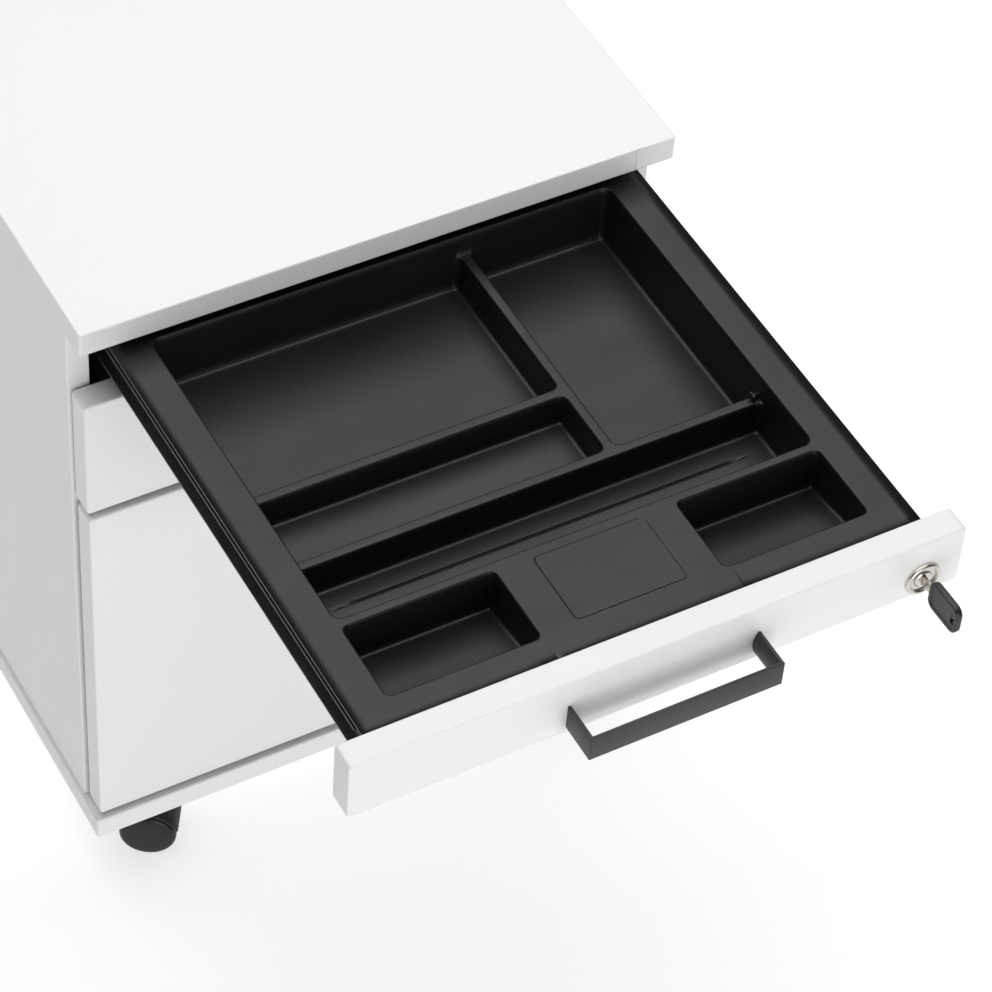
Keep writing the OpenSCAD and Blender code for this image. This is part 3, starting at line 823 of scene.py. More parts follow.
class Pocket:
    """A rectangular hollow with rounded corners, leaning walls, a rounded edge and a fillet."""

    def __init__(self, x0, x1, y0, y1, top, floor, corner):
        self.x0, self.x1, self.y0, self.y1 = x0, x1, y0, y1
        self.top, self.floor, self.corner = top, floor, corner

    def inside(self, x, y):
        """Distance inside the outline, negative outside it."""
        qx = abs(x - (self.x0 + self.x1) / 2) - ((self.x1 - self.x0) / 2 - self.corner)
        qy = abs(y - (self.y0 + self.y1) / 2) - ((self.y1 - self.y0) / 2 - self.corner)
        out = math.hypot(max(qx, 0), max(qy, 0))
        return self.corner - out - min(max(qx, qy), 0)

    def depth(self, x, y, edge, fillet, draft):
        """Depth below the rim at a point, or the depth of the hollow's own edge outside it."""
        floor = self.floor(y) if callable(self.floor) else self.floor
        drop = floor - self.top
        d = self.inside(x, y)
        lean, rise = math.sin(draft), math.cos(draft)
        start = -edge * (1 - lean) / rise
        if d <= start:
            return 0.0
        if d < start + edge * rise:
            return self.top + edge - math.sqrt(max(edge * edge - (d - start) ** 2, 0))
        fillet = min(fillet, drop * 0.8)
        centre = (fillet + (drop - fillet) * lean) / rise
        if d >= centre:
            return floor
        if d > centre - fillet * rise:
            return floor - fillet + math.sqrt(max(fillet * fillet - (centre - d) ** 2, 0))
        return self.top + d * rise / lean


def near_lines(places, low, high, count):
    """Grid lines from low to high, close together on the inner side of each place.

    A place is (where, side): side +1 has its hollow above it and -1 below it.
    """
    offsets = (-1.5, -1.0, -0.5, 0, 0.35, 0.8, 1.3, 1.9, 2.5, 3.1, 3.7, 4.4, 5.2, 6.2, 7.4)
    closest, closest_to_end = 0.00022, 0.0003
    lines = {round(low + (high - low) * i / count, 6) for i in range(count + 1)}
    for where, side in places:
        lines.update(round(where + side * offset / 1000, 6) for offset in offsets)
    ordered = [low]
    for line in sorted(lines):
        if low < line < high and line - ordered[-1] > closest:
            ordered.append(line)
    ordered[-1] = high if high - ordered[-1] < closest_to_end else ordered[-1]
    return ordered if ordered[-1] == high else ordered + [high]


class PEDESTAL_OT_tray(bpy.types.Operator):
    """Moulded pencil tray with its cups, troughs, compartments and small details"""

    bl_idname = "pedestal.tray"
    bl_label = "Pencil tray"

    def execute(self, context):
        low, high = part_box("tray")
        self.low, self.high = low, high
        self.front = low.y
        basin = self.compartments()
        front_gap, groove_room = 0.0004, 0.002
        xs = near_lines(self.across, low.x, high.x, 46)
        ys = near_lines(self.along, low.y + front_gap, high.y, 40)
        clear = [y for y in ys if abs(y - self.front - self.groove) > groove_room]
        ys = sorted(clear + [self.front + line for line in self.groove_lines])
        mesh = bmesh.new()
        rows = []
        for y in ys:
            rows.append([mesh.verts.new((x, y, high.z - self.depth(x, y, basin))) for x in xs])
        for near, far in zip(rows, rows[1:]):
            for i in range(len(xs) - 1):
                face = mesh.faces.new((near[i], near[i + 1], far[i + 1], far[i]))
                face.smooth = True
        piece = new_piece("pencil_tray_moulded", mesh)
        wall = piece.modifiers.new("wall", "SOLIDIFY")
        wall.thickness, wall.offset = 0.0019, -1
        settle(piece)
        piece = join_pieces("pencil_tray_moulded", [piece, self.flange(), self.stop()])
        dress(piece, "pencil_drawer", "tray_plastic", ["tray"], tray_plastic())
        return {"FINISHED"}

    def flange(self):
        """Turned-down flange that is screwed on the back of the front."""
        start = (-0.13, self.low.y, self.high.z - 0.02)
        return new_piece("flange", cuboid(start, (0.13, self.low.y + 0.0024, self.high.z - 0.001)))

    def stop(self):
        """Small upright stop at the right end of the cross wall, with a rib behind it."""
        wall, top = self.cross_front, self.high.z - 0.0155
        blade = cuboid((0.1588, wall + 0.0008, top - 0.002), (0.1602, wall + 0.0062, top + 0.0052))
        rib = cuboid((0.1596, wall + 0.0034, top - 0.002), (0.1652, wall + 0.0048, top + 0.0040))
        pieces = []
        for part in (blade, rib):
            bmesh.ops.bevel(part, geom=part.edges[:], offset=0.0004, segments=2, profile=0.5,
                            affect="EDGES")
            pieces.append(new_piece("stop", part))
        return join_pieces("stop", pieces)

    def compartments(self):
        """The hollows of the tray; returns the basin, which all but the cups and plate lie in."""
        y0 = self.front
        half, corner = 0.166, sizes().tray_corner
        deep, ledge = 0.042, 0.016
        lean = ledge * math.tan(sizes().tray_draft)
        x0, x1 = -half + lean, half - lean
        split_left, split_right = 0.0548, 0.0618
        cup_front, cup_back = y0 + 0.021, y0 + 0.0795
        basin_front, back = y0 + 0.086, y0 + 0.342
        self.cross_front, cross_back = y0 + 0.142, y0 + 0.149
        pen_back, clip_front = y0 + 0.2015, y0 + 0.2085
        basin = Pocket(-half, half, basin_front, back, 0, ledge, corner)
        end, inner_corner = back - lean, corner - lean
        self.pockets = [
            Pocket(x0, x1, basin_front + lean, self.cross_front, ledge, deep - 0.002, inner_corner),
            Pocket(x0, split_left, cross_back, pen_back, ledge, deep - 0.004, inner_corner),
            Pocket(x0, split_left, clip_front, end, ledge, deep, inner_corner),
            Pocket(split_right, x1, cross_back, end, ledge, deep, inner_corner),
        ]
        cup_x, cup_half, cup_depth, cup_slope = 0.1143, 0.05125, 0.031, 0.14

        def cup_floor(y):
            return cup_depth - (cup_back - y) * cup_slope

        self.cups = [
            Pocket(s * cup_x - cup_half, s * cup_x + cup_half, cup_front, cup_back, 0,
                   cup_floor, 0.0045)
            for s in (-1, 1)
        ]
        plate_left, plate_right = -0.038, 0.0395
        self.plate = Pocket(plate_left, plate_right, y0 + 0.0235, y0 + 0.0785, 0, 0.0007, 0.004)
        cup_inner = cup_x - cup_half
        self.across = [(-half, 1), (half, -1), (split_left, -1), (split_right, 1),
                       (-cup_inner, -1), (cup_inner, 1), (plate_left, 1), (plate_right, -1)]
        self.along = [(cup_front, 1), (cup_back, -1), (basin_front, 1), (self.cross_front, -1),
                      (cross_back, 1), (pen_back, -1), (clip_front, 1), (back, -1)]
        self.groove = 0.124
        offsets = (-0.0018, -0.0012, -0.0009, 0, 0.0009, 0.0012, 0.0018)
        self.groove_lines = [self.groove + offset for offset in offsets]
        return basin

    def depth(self, x, y, basin):
        """Depth of the tray's surface below its rim."""
        edge, fillet, draft = sizes().tray_top, sizes().tray_fillet, sizes().tray_draft
        depth = basin.depth(x, y, edge, 0.001, draft)
        wall = Pocket(basin.x0, basin.x1, basin.y0, basin.y1, 0, 0.1, basin.corner)
        limit = wall.depth(x, y, edge, fillet, draft)
        for pocket in self.pockets:
            depth = max(depth, min(pocket.depth(x, y, edge, fillet, draft), limit))
        for cup in self.cups:
            depth = max(depth, cup.depth(x, y, edge, fillet, draft))
        depth = max(depth, self.plate.depth(x, y, 0.0003, 0.0003, 0.7))
        return self.details(x, y, depth)

    def details(self, x, y, depth):
        """Floor groove and the clip notches at the front edge."""
        v = y - self.front
        if abs(v - self.groove) < 0.001 and abs(x) < 0.134:
            depth += 0.0024
        if v < 0.0022 and min(abs(x + 0.067), abs(x - 0.071)) < 0.0045:
            depth += 0.0025
        return depth


# ---------------------------------------------------------------- slides


def channel_outline(node, reach, opens_inwards, height=None, sheet=0.0012):
    """Outline of the right-hand member of a slide, from its node's box and its own height."""
    low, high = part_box(node)
    web = high.x if opens_inwards else high.x - reach
    tip = high.x - reach if opens_inwards else high.x
    z0 = low.z
    z1 = z0 + height if height else high.z
    points = [(tip, z0), (web, z0), (web, z1), (tip, z1)]
    return sheet_outline(points, sizes().bend, sheet if opens_inwards else -sheet)


class PEDESTAL_OT_slides(bpy.types.Operator):
    """Rolled members of the three pairs of drawer slides"""

    bl_idname = "pedestal.slides"
    bl_label = "Drawer slides"

    def execute(self, context):
        self.drawer_rail_1()
        members = (
            ("rail_1_cabinet", "cabinet", 0.0086, True, "slide_black", slide_black),
            ("rail_2_cabinet", "cabinet", 0.0105, True, "zinc_steel", zinc),
            ("rail_2_middle", "box_slide_middle", 0.0066, True, "zinc_steel", zinc),
            ("rail_2_drawer", "box_drawer", 0.0052, False, "zinc_steel", zinc),
            ("rail_3_cabinet", "cabinet", 0.0105, True, "zinc_steel", zinc),
            ("rail_3_middle", "file_slide_middle", 0.0066, True, "zinc_steel", zinc),
            ("rail_3_drawer", "file_drawer", 0.0052, False, "zinc_steel", zinc),
        )
        for node, body, reach, inwards, slot, material in members:
            low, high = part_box(node)
            outline = channel_outline(node, reach, inwards)
            mesh = both_sides(extruded(outline, low.y, high.y))
            dress(new_piece(f"{node}_rolled", mesh), body, slot, [node], material())
        return {"FINISHED"}

    def drawer_rail_1(self):
        """Pencil drawer's rail, whose web stands up to carry the tray's rim."""
        node, reach, sheet, height = "rail_1_drawer", 0.0062, 0.0012, 0.0196
        low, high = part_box(node)
        tray_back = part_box("tray")[1].y
        mesh = extruded(channel_outline(node, reach, False, height), low.y, high.y)
        rolled = new_piece("rolled", both_sides(mesh))
        web = high.x - reach
        strip = cuboid((web, low.y, low.z + height / 2), (web + sheet, tray_back - 0.002, high.z))
        piece = join_pieces(f"{node}_rolled", [rolled, new_piece("web", both_sides(strip))])
        dress(piece, "pencil_drawer", "slide_black", [node], slide_black())


# ---------------------------------------------------------------- drawer boxes


def pressed(name, node, thin, margin, depth):
    """A sheet with a shallow pressed field."""
    low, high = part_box(node)
    mesh = cuboid(low, high)
    for side in (1, -1):
        face = max(mesh.faces, key=lambda f: f.normal[thin] * side)
        bmesh.ops.inset_region(mesh, faces=[face], thickness=margin)
        bmesh.ops.inset_region(mesh, faces=[face], thickness=0.003)
        push = Vector((0, 0, 0))
        push[thin] = depth
        bmesh.ops.translate(mesh, vec=push, verts=face.verts)
    return new_piece(name, mesh)


class PEDESTAL_OT_boxes(bpy.types.Operator):
    """Steel boxes of the two lower drawers, with rolled sides, and the file rails"""

    bl_idname = "pedestal.boxes"
    bl_label = "Drawer boxes"

    def execute(self, context):
        for number in (2, 3):
            body = DRAWER_OF[number]
            base, back = f"box_{number}_base", f"box_{number}_back"
            piece = pressed(f"{base}_pressed", base, Z, 0.03, -0.0009)
            dress(piece, body, "box_coat", [base], box_coat())
            piece = pressed(f"{back}_pressed", back, Y, 0.012, 0.0009)
            dress(piece, body, "box_coat", [back], box_coat())
            self.sides(number, body)
        rails = softened("file_rails_formed", "file_rails", sizes().metal_edge)
        dress(rails, "file_drawer", "zinc_steel", ["file_rails"], zinc())
        return {"FINISHED"}

    def sides(self, number, body):
        """Both side walls with a rolled top edge, and the flanges and catch of the node."""
        node = f"box_{number}_sides"
        low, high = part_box(node)
        sheet, lip_reach, lip_drop = 0.0015, 0.0085, 0.0045
        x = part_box(f"box_{number}_base")[1].x + sheet
        lip = [(x - lip_reach, high.z - lip_drop), (x - lip_reach, high.z), (x, high.z),
               (x, low.z)]
        outline = sheet_outline(lip, 0.0018, -sheet)
        walls = new_piece("walls", both_sides(extruded(outline, low.y, high.y)))
        screws_low, screws_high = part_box(f"box_screws_{number}")
        pieces = [walls]
        for side in (-1, 1):
            near = (side * (x - sheet), low.y, screws_low.z - 0.0055)
            far = (side * (x - 0.022), low.y + sheet, screws_high.z + 0.0055)
            smaller = [min(a, b) for a, b in zip(near, far)]
            larger = [max(a, b) for a, b in zip(near, far)]
            pieces.append(new_piece("flange", cuboid(smaller, larger)))
        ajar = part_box(f"front_{number}")[0].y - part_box("front_2")[0].y
        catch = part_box("lock_bar")[1].y + 0.0036 + ajar
        rail_low, rail_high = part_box(f"rail_{number}_cabinet")
        hook = rail_low.z - 0.0175 if number == 2 else rail_high.z + 0.0175
        near = (x - 0.0005, catch, hook + 0.005)
        pieces.append(new_piece("catch", cuboid(near, (x + 0.0075, catch + 0.006, hook + 0.014))))
        joined = join_pieces(f"{node}_rolled", pieces)
        dress(joined, body, "box_coat", [node], box_coat())


# ---------------------------------------------------------------- repeated small pieces


def screw_tree():
    """Geometry nodes that put a cross-recess screw on each point, its head towards +Z."""
    found = bpy.data.node_groups.get("Screws on points")
    if found:
        return found
    tree = bpy.data.node_groups.new("Screws on points", "GeometryNodeTree")
    face = tree.interface
    face.new_socket("Geometry", in_out="OUTPUT", socket_type="NodeSocketGeometry")
    face.new_socket("Geometry", in_out="INPUT", socket_type="NodeSocketGeometry")
    for label, value in (("Head Radius", 0.0035), ("Head Height", 0.002),
                         ("Shank Radius", 0.0018), ("Shank Length", 0.012)):
        socket = face.new_socket(label, in_out="INPUT", socket_type="NodeSocketFloat")
        socket.default_value = value
    face.new_socket("Rotation", in_out="INPUT", socket_type="NodeSocketRotation")
    face.new_socket("Material", in_out="INPUT", socket_type="NodeSocketMaterial")
    start, end = tree.nodes.new("NodeGroupInput"), tree.nodes.new("NodeGroupOutput")
    made_node, link = tree.nodes.new, tree.links.new

    def math_node(operation, a, b):
        node = made_node("ShaderNodeMath")
        node.operation = operation
        for socket, value in zip(node.inputs, (a, b)):
            if isinstance(value, (int, float)):
                socket.default_value = value
            else:
                link(value, socket)
        return node.outputs[0]

    def cone(bottom, top, depth, vertices):
        node = made_node("GeometryNodeMeshCone")
        node.inputs["Vertices"].default_value = vertices
        for label, value in (("Radius Bottom", bottom), ("Radius Top", top), ("Depth", depth)):
            link(value, node.inputs[label])
        return node.outputs["Mesh"]

    def moved(geometry, z):
        place = made_node("ShaderNodeCombineXYZ")
        link(z, place.inputs["Z"])
        node = made_node("GeometryNodeTransform")
        link(geometry, node.inputs["Geometry"])
        link(place.outputs[0], node.inputs["Translation"])
        return node.outputs["Geometry"]

    radius, height = start.outputs["Head Radius"], start.outputs["Head Height"]
    skirt_height = math_node("MULTIPLY", height, 0.45)
    crown_height = math_node("MULTIPLY", height, 0.55)
    crown = cone(radius, math_node("MULTIPLY", radius, 0.62), crown_height, 24)
    skirt = cone(radius, radius, skirt_height, 24)
    shank_radius, shank_length = start.outputs["Shank Radius"], start.outputs["Shank Length"]
    shank = cone(math_node("MULTIPLY", shank_radius, 0.8), shank_radius, shank_length, 12)
    head = made_node("GeometryNodeJoinGeometry")
    link(moved(crown, skirt_height), head.inputs[0])
    recess = made_node("GeometryNodeMeshBoolean")
    recess.operation = "DIFFERENCE"
    link(head.outputs[0], recess.inputs["Mesh 1"])
    for long_way in (0, 1):
        size = made_node("ShaderNodeCombineXYZ")
        link(math_node("MULTIPLY", radius, 1.05 if long_way else 0.3), size.inputs["X"])
        link(math_node("MULTIPLY", radius, 0.3 if long_way else 1.05), size.inputs["Y"])
        link(height, size.inputs["Z"])
        bar = made_node("GeometryNodeMeshCube")
        link(size.outputs[0], bar.inputs["Size"])
        link(moved(bar.outputs["Mesh"], height), recess.inputs["Mesh 2"])
    screw = made_node("GeometryNodeJoinGeometry")
    link(recess.outputs["Mesh"], screw.inputs[0])
    link(skirt, screw.inputs[0])
    link(moved(shank, math_node("MULTIPLY", shank_length, -1)), screw.inputs[0])
    spread = made_node("GeometryNodeInstanceOnPoints")
    link(start.outputs["Geometry"], spread.inputs["Points"])
    link(screw.outputs[0], spread.inputs["Instance"])
    link(start.outputs["Rotation"], spread.inputs["Rotation"])
    real, paint = made_node("GeometryNodeRealizeInstances"), made_node("GeometryNodeSetMaterial")
    link(spread.outputs["Instances"], real.inputs["Geometry"])
    link(real.outputs["Geometry"], paint.inputs["Geometry"])
    link(start.outputs["Material"], paint.inputs["Material"])
    link(paint.outputs["Geometry"], end.inputs["Geometry"])
    return tree


def ball_tree():
    """Geometry nodes that put a steel ball on each point."""
    tree = bpy.data.node_groups.new("Balls on points", "GeometryNodeTree")
    face = tree.interface
    face.new_socket("Geometry", in_out="OUTPUT", socket_type="NodeSocketGeometry")
    face.new_socket("Geometry", in_out="INPUT", socket_type="NodeSocketGeometry")
    socket = face.new_socket("Radius", in_out="INPUT", socket_type="NodeSocketFloat")
    socket.default_value = 0.001
    face.new_socket("Material", in_out="INPUT", socket_type="NodeSocketMaterial")
    start, end = tree.nodes.new("NodeGroupInput"), tree.nodes.new("NodeGroupOutput")
    ball = tree.nodes.new("GeometryNodeMeshIcoSphere")
    ball.inputs["Subdivisions"].default_value = 2
    spread = tree.nodes.new("GeometryNodeInstanceOnPoints")
    real = tree.nodes.new("GeometryNodeRealizeInstances")
    paint = tree.nodes.new("GeometryNodeSetMaterial")
    for source, target in (
        (start.outputs["Radius"], ball.inputs["Radius"]),
        (start.outputs["Geometry"], spread.inputs["Points"]),
        (ball.outputs["Mesh"], spread.inputs["Instance"]),
        (spread.outputs["Instances"], real.inputs["Geometry"]),
        (real.outputs["Geometry"], paint.inputs["Geometry"]),
        (start.outputs["Material"], paint.inputs["Material"]),
        (paint.outputs["Geometry"], end.inputs["Geometry"]),
    ):
        tree.links.new(source, target)
    return tree


def on_points(name, tree, points, **values):
    """A piece that a node tree makes on a list of points, turned into a plain mesh."""
    mesh = bpy.data.meshes.new(name)
    mesh.from_pydata([tuple(p) for p in points], [], [])
    piece = new_piece(name, mesh)
    modifier = piece.modifiers.new("nodes", "NODES")
    modifier.node_group = tree
    for item in tree.interface.items_tree:
        if item.item_type == "SOCKET" and item.in_out == "INPUT" and item.name in values:
            modifier[item.identifier] = values[item.name]
    return settle(piece)


def solid_boxes(node):
    """The box of each separate solid of a node, as its low and high corners."""
    mesh = bmesh.new()
    mesh.from_mesh(frame["nodes"][node].data)
    bmesh.ops.remove_doubles(mesh, verts=mesh.verts, dist=1e-6)
    left, found = set(mesh.verts), []
    while left:
        queue, group = [left.pop()], []
        while queue:
            vert = queue.pop()
            group.append(vert.co.copy())
            for edge in vert.link_edges:
                other = edge.other_vert(vert)
                if other in left:
                    left.discard(other)
                    queue.append(other)
        low = Vector([min(c[i] for c in group) for i in range(3)])
        high = Vector([max(c[i] for c in group) for i in range(3)])
        found.append((low, high))
    mesh.free()
    return sorted(found, key=lambda box: tuple(box[0]))


class PEDESTAL_OT_fasteners(bpy.types.Operator):
    """Screws of every drawer and of the carcass, and the balls of the top slides"""

    bl_idname = "pedestal.fasteners"
    bl_label = "Screws and balls"

    def execute(self, context):
        backwards, downwards = (math.radians(-90), 0, 0), (math.radians(180), 0, 0)
        for number, body in DRAWER_OF.items():
            self.screws(f"handle_screws_{number}", body, backwards, 0.0038, 0.0022)
        for number in (2, 3):
            self.screws(f"box_screws_{number}", DRAWER_OF[number], backwards, 0.0034, 0.002)
        self.screws("tray_screws", "pencil_drawer", backwards, 0.0034, 0.002)
        self.screws("castor_screws", "cabinet", downwards, 0.0038, 0.0022)
        self.screws("carcass_screws", "cabinet", downwards, 0.0035, 0.0017)
        self.rail_screws()
        self.balls()
        return {"FINISHED"}

    def screws(self, node, body, rotation, radius, height):
        """The screws of one node, heads towards the way that rotation turns +Z."""
        out = Vector((0, 0, 1))
        out.rotate(Matrix.Rotation(rotation[0], 3, "X"))
        points, longest = [], 0
        for low, high in solid_boxes(node):
            middle, half = (low + high) / 2, (high - low) / 2
            reach = abs(out.dot(half))
            points.append(middle + out * (reach - height))
            longest = max(longest, 2 * reach - height)
        piece = on_points(
            f"{node}_set", screw_tree(), points, **{
                "Head Radius": radius, "Head Height": height, "Shank Radius": 0.0019,
                "Shank Length": longest, "Rotation": rotation, "Material": zinc()})
        dress(piece, body, "zinc_steel", [node])

    def rail_screws(self):
        """Screws through the webs of the cabinet rails, heads towards the middle."""
        pieces = []
        for side in (-1, 1):
            points = [
                Vector((low.x if side < 0 else high.x, (low.y + high.y) / 2, (low.z + high.z) / 2))
                for low, high in solid_boxes("rail_screws") if (low.x + high.x) * side > 0
            ]
            pieces.append(on_points(
                "rail_screw_side", screw_tree(), points, **{
                    "Head Radius": 0.003, "Head Height": 0.0012, "Shank Radius": 0.0018,
                    "Shank Length": 0.001, "Rotation": (0, math.radians(-90 * side), 0),
                    "Material": zinc()}))
        piece = join_pieces("rail_screws_set", pieces)
        dress(piece, "cabinet", "zinc_steel", ["rail_screws"], zinc())

    def balls(self):
        """Steel balls along the two cages of each top slide."""
        low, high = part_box("ball_cage_1")
        radius, count, step, first = 0.00095, 8, 0.0135, 0.005
        x, rows = 0.1904, (low.z + radius, high.z - radius)
        points = [(s * x, low.y + first + i * step, z)
                  for s in (-1, 1) for z in rows for i in range(count)]
        balls = on_points("balls", ball_tree(), points, Radius=radius, Material=zinc())
        strips = []
        for s in (-1, 1):
            for z in rows:
                strips.append(new_piece("strip", cuboid((s * x - 0.001, low.y, z - 0.0003),
                                                        (s * x + 0.001, high.y, z + 0.0003))))
        piece = join_pieces("ball_cages_set", [balls] + strips)
        dress(piece, "ball_cage", "zinc_steel", ["ball_cage_1"], zinc())


class PEDESTAL_OT_fittings(bpy.types.Operator):
    """Locking bar and its clips, rail brackets, castor plates and front buffers"""

    bl_idname = "pedestal.fittings"
    bl_label = "Small fittings"

    def execute(self, context):
        edge = sizes().metal_edge
        for node, body, slot, material in (
            ("lock_bar", "locking_bar", "zinc_steel", zinc),
            ("lock_guides", "cabinet", "tray_plastic", tray_plastic),
            ("rail_brackets", "pencil_drawer", "slide_black", slide_black),
            ("castor_plates", "cabinet", "zinc_steel", zinc),
        ):
            piece = softened(f"{node}_formed", node, edge)
            dress(piece, body, slot, [node], material())
        self.buffers()
        return {"FINISHED"}

    def buffers(self):
        """Domed buffers on the front edges of the side panels."""
        domes = []
        for low, high in solid_boxes("front_buffers"):
            middle, r = (low + high) / 2, (high.x - low.x) / 2
            tall = high.y - low.y
            profile = [(r, 0), (r, tall * 0.3)]
            steps = 6
            for i in range(1, steps + 1):
                a = i / steps * math.pi / 2
                across = r * math.cos(a) if i < steps else 0
                profile.append((across, tall * (0.3 + 0.7 * math.sin(a))))
            foot = (middle.x, high.y, middle.z)
            domes.append(turned([(0, 0)] + profile, foot, (0, -1, 0), 24))
        piece = new_piece("front_buffers_domed", merged(domes))
        dress(piece, "cabinet", "buffer_rubber", ["front_buffers"], buffer_rubber())


# ---------------------------------------------------------------- castors


def wheel_profile(radius, width):
    """Half section of a castor wheel from its inner face outwards, as (radius, place)."""
    bore, shoulder, steps = 0.00305, 0.005, 6
    start = width - 0.0055
    profile = [(bore, 0), (radius - 0.004, 0), (radius - 0.0035, 0.0004),
               (radius - 0.0006, 0.0006), (radius, 0.0016), (radius, start)]
    for i in range(1, steps + 1):
        a = i / steps * math.pi / 2
        profile.append((radius - shoulder * (1 - math.cos(a)), start + shoulder * math.sin(a)))
    profile += [(radius - 0.0065, width - 0.0003), (0.006, width), (0.0025, width), (0, width)]
    return profile


class PEDESTAL_OT_castors(bpy.types.Operator):
    """Twin-wheel castors: housings with softened edges, turned wheels and their pins"""

    bl_idname = "pedestal.castors"
    bl_label = "Castors"

    def execute(self, context):
        joints = {joint["name"]: joint for joint in frame["joints"]}
        for place in CASTORS:
            housing = softened(f"castor_{place}_housing", f"castor_{place}_body", 0.0007, 3)
            dress(housing, f"castor_{place}", "castor_plastic", [f"castor_{place}_body"],
                  castor_nylon())
            joint = joints[f"castor_{place}_roll"]
            self.wheels(place, Vector(joint["pos_m"]), Vector(joint["axis"]).normalized())
            colour_node(f"castor_{place}_pins", zinc())
        return {"FINISHED"}

    def wheels(self, place, hub, axis):
        """Both wheels of one castor."""
        space, width = 0.013, 0.017
        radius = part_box(f"castor_{place}_wheels")[1].z / 2
        profile = wheel_profile(radius, width)
        pair = [turned(profile, hub + axis * side * space / 2, axis * side, 56)
                for side in (-1, 1)]
        piece = new_piece(f"castor_{place}_twin_wheels", merged(pair))
        dress(piece, f"wheels_{place}", "castor_plastic", [f"castor_{place}_wheels"],
              castor_nylon())


# ---------------------------------------------------------------- stage


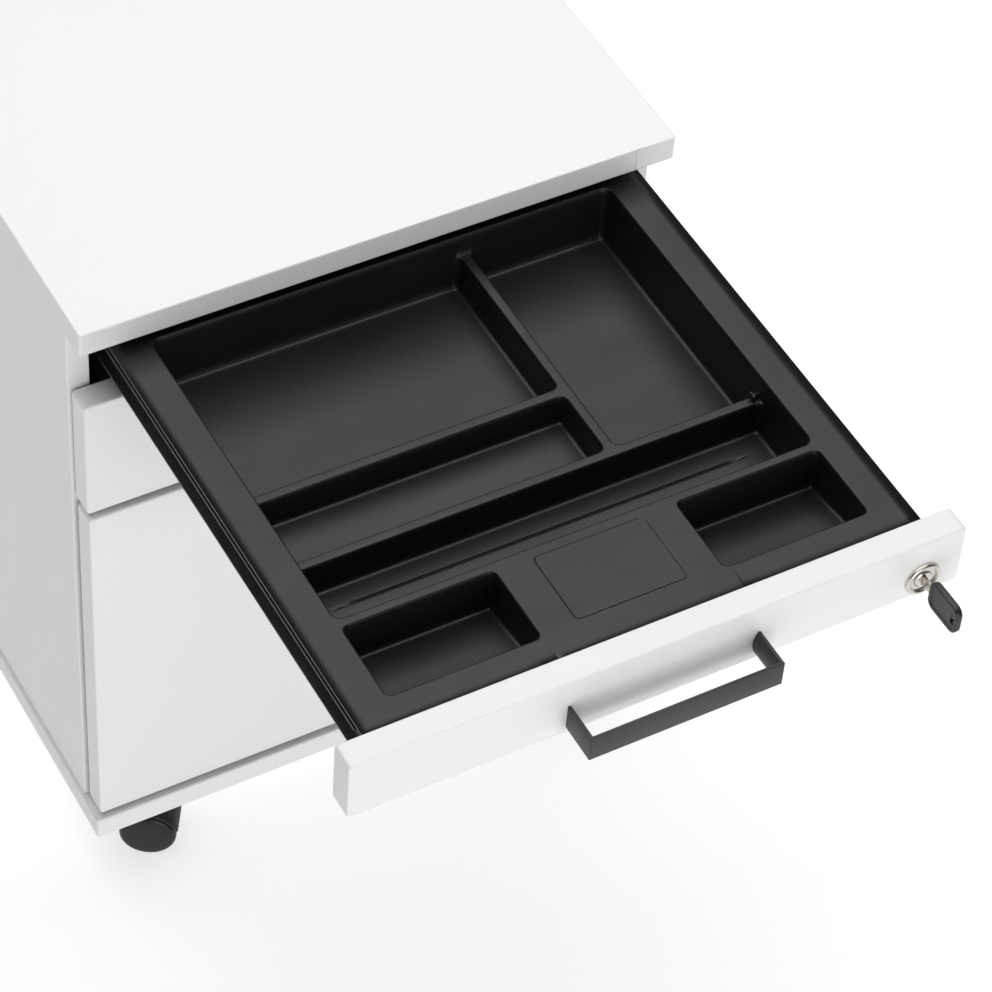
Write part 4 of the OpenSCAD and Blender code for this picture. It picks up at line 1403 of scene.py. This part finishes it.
class PEDESTAL_OT_stage(bpy.types.Operator):
    """Pale floor, soft studio light and the camera"""

    bl_idname = "pedestal.stage"
    bl_label = "Stage"

    def execute(self, context):
        self.floor()
        self.world(context)
        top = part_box("top_panel")[1].z
        self.lamp("overhead", (0.1, 0.2, top + 1.6), (0.05, -0.1, top), 2.6, 49)
        self.lamp("front_fill", (-0.3, -3.6, 0.55), (0, 0, 0.3), 2.4, 76)
        self.camera(context)
        return {"FINISHED"}

    def floor(self):
        """A large pale floor."""
        mesh = bmesh.new()
        bmesh.ops.create_grid(mesh, x_segments=1, y_segments=1, size=14)
        floor = new_piece("studio_floor", mesh)
        material = bpy.data.materials.new("Studio floor")
        material.use_nodes = True
        tree = material.node_tree
        body = tree.nodes["Principled BSDF"]
        vector = tree.nodes.new("ShaderNodeTexCoord").outputs["Object"]
        paint = use_group(tree, drift_group(), vector, Scale=1.0, Light=(0.5, 0.5, 0.5, 1),
                          Dark=(0.495, 0.495, 0.495, 1))
        tree.links.new(paint.outputs["Color"], body.inputs["Base Color"])
        body.inputs["Roughness"].default_value = 0.9
        body.inputs["Specular IOR Level"].default_value = 0.1
        body.inputs["Emission Color"].default_value = (1, 1, 1, 1)
        body.inputs["Emission Strength"].default_value = 0.68
        floor.data.materials.append(material)

    def world(self, context):
        """Even pale surroundings."""
        world = bpy.data.worlds.new("Studio")
        world.use_nodes = True
        world.node_tree.nodes["Background"].inputs["Color"].default_value = (1, 1, 1, 1)
        world.node_tree.nodes["Background"].inputs["Strength"].default_value = 0.07
        context.scene.world = world
        context.scene.view_settings.view_transform = "Standard"

    def lamp(self, name, place, aim, size, power):
        """A soft square lamp."""
        data = bpy.data.lights.new(name, "AREA")
        data.shape, data.size, data.energy = "SQUARE", size, power
        lamp = bpy.data.objects.new(name, data)
        bpy.context.scene.collection.objects.link(lamp)
        lamp.location = place
        lamp.rotation_euler = (Vector(aim) - Vector(place)).to_track_quat("-Z", "Y").to_euler()

    def camera(self, context):
        """The camera, in front of and above the pedestal's left corner."""
        azimuth, elevation, roll = math.radians(-31.95), math.radians(47.42), math.radians(4.54)
        distance = 2.662
        front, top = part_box("top_panel")
        aim = Vector((0.0972, front.y, top.z - 0.2947))
        back = Vector((math.sin(azimuth) * math.cos(elevation),
                       -math.cos(azimuth) * math.cos(elevation), math.sin(elevation)))
        right = Vector((math.cos(azimuth), math.sin(azimuth), 0))
        up = back.cross(right)
        turned_right = right * math.cos(roll) + up * math.sin(roll)
        turned_up = up * math.cos(roll) - right * math.sin(roll)
        data = bpy.data.cameras.new("camera")
        data.sensor_width = 36.0
        data.lens = 137.1
        data.clip_start, data.clip_end = 0.05, 100
        camera = bpy.data.objects.new("camera", data)
        context.scene.collection.objects.link(camera)
        camera.matrix_world = Matrix.Translation(aim + back * distance) @ Matrix(
            (turned_right, turned_up, back)).transposed().to_4x4()
        context.scene.camera = camera


# ---------------------------------------------------------------- panel and registration


OPERATORS = (
    PEDESTAL_OT_stage,
    PEDESTAL_OT_carcass,
    PEDESTAL_OT_fronts,
    PEDESTAL_OT_handles,
    PEDESTAL_OT_lock,
    PEDESTAL_OT_tray,
    PEDESTAL_OT_slides,
    PEDESTAL_OT_boxes,
    PEDESTAL_OT_fasteners,
    PEDESTAL_OT_fittings,
    PEDESTAL_OT_castors,
)


class PEDESTAL_PT_panel(bpy.types.Panel):
    """Lists the pedestal's settings and the steps that build it"""

    bl_idname = "PEDESTAL_PT_panel"
    bl_label = "Pedestal"
    bl_space_type = "VIEW_3D"
    bl_region_type = "UI"
    bl_category = "Pedestal"

    def draw(self, context):
        layout = self.layout
        for settings in (context.scene.pedestal_sizes, context.scene.pedestal_colours):
            for name in settings.__annotations__:
                layout.prop(settings, name)
        for step in OPERATORS:
            layout.operator(step.bl_idname)


CLASSES = (PedestalSizes, PedestalColours, *OPERATORS, PEDESTAL_PT_panel)


def register():
    """Registers the classes and the scene's settings."""
    for item in CLASSES:
        bpy.utils.register_class(item)
    bpy.types.Scene.pedestal_sizes = PointerProperty(type=PedestalSizes)
    bpy.types.Scene.pedestal_colours = PointerProperty(type=PedestalColours)


def unregister():
    """Removes what register added."""
    del bpy.types.Scene.pedestal_colours
    del bpy.types.Scene.pedestal_sizes
    for item in reversed(CLASSES):
        bpy.utils.unregister_class(item)


def main():
    """Builds the pedestal."""
    register()
    for step in OPERATORS:
        group, name = step.bl_idname.split(".")
        getattr(getattr(bpy.ops, group), name)()


if __name__ == "__main__":
    main()
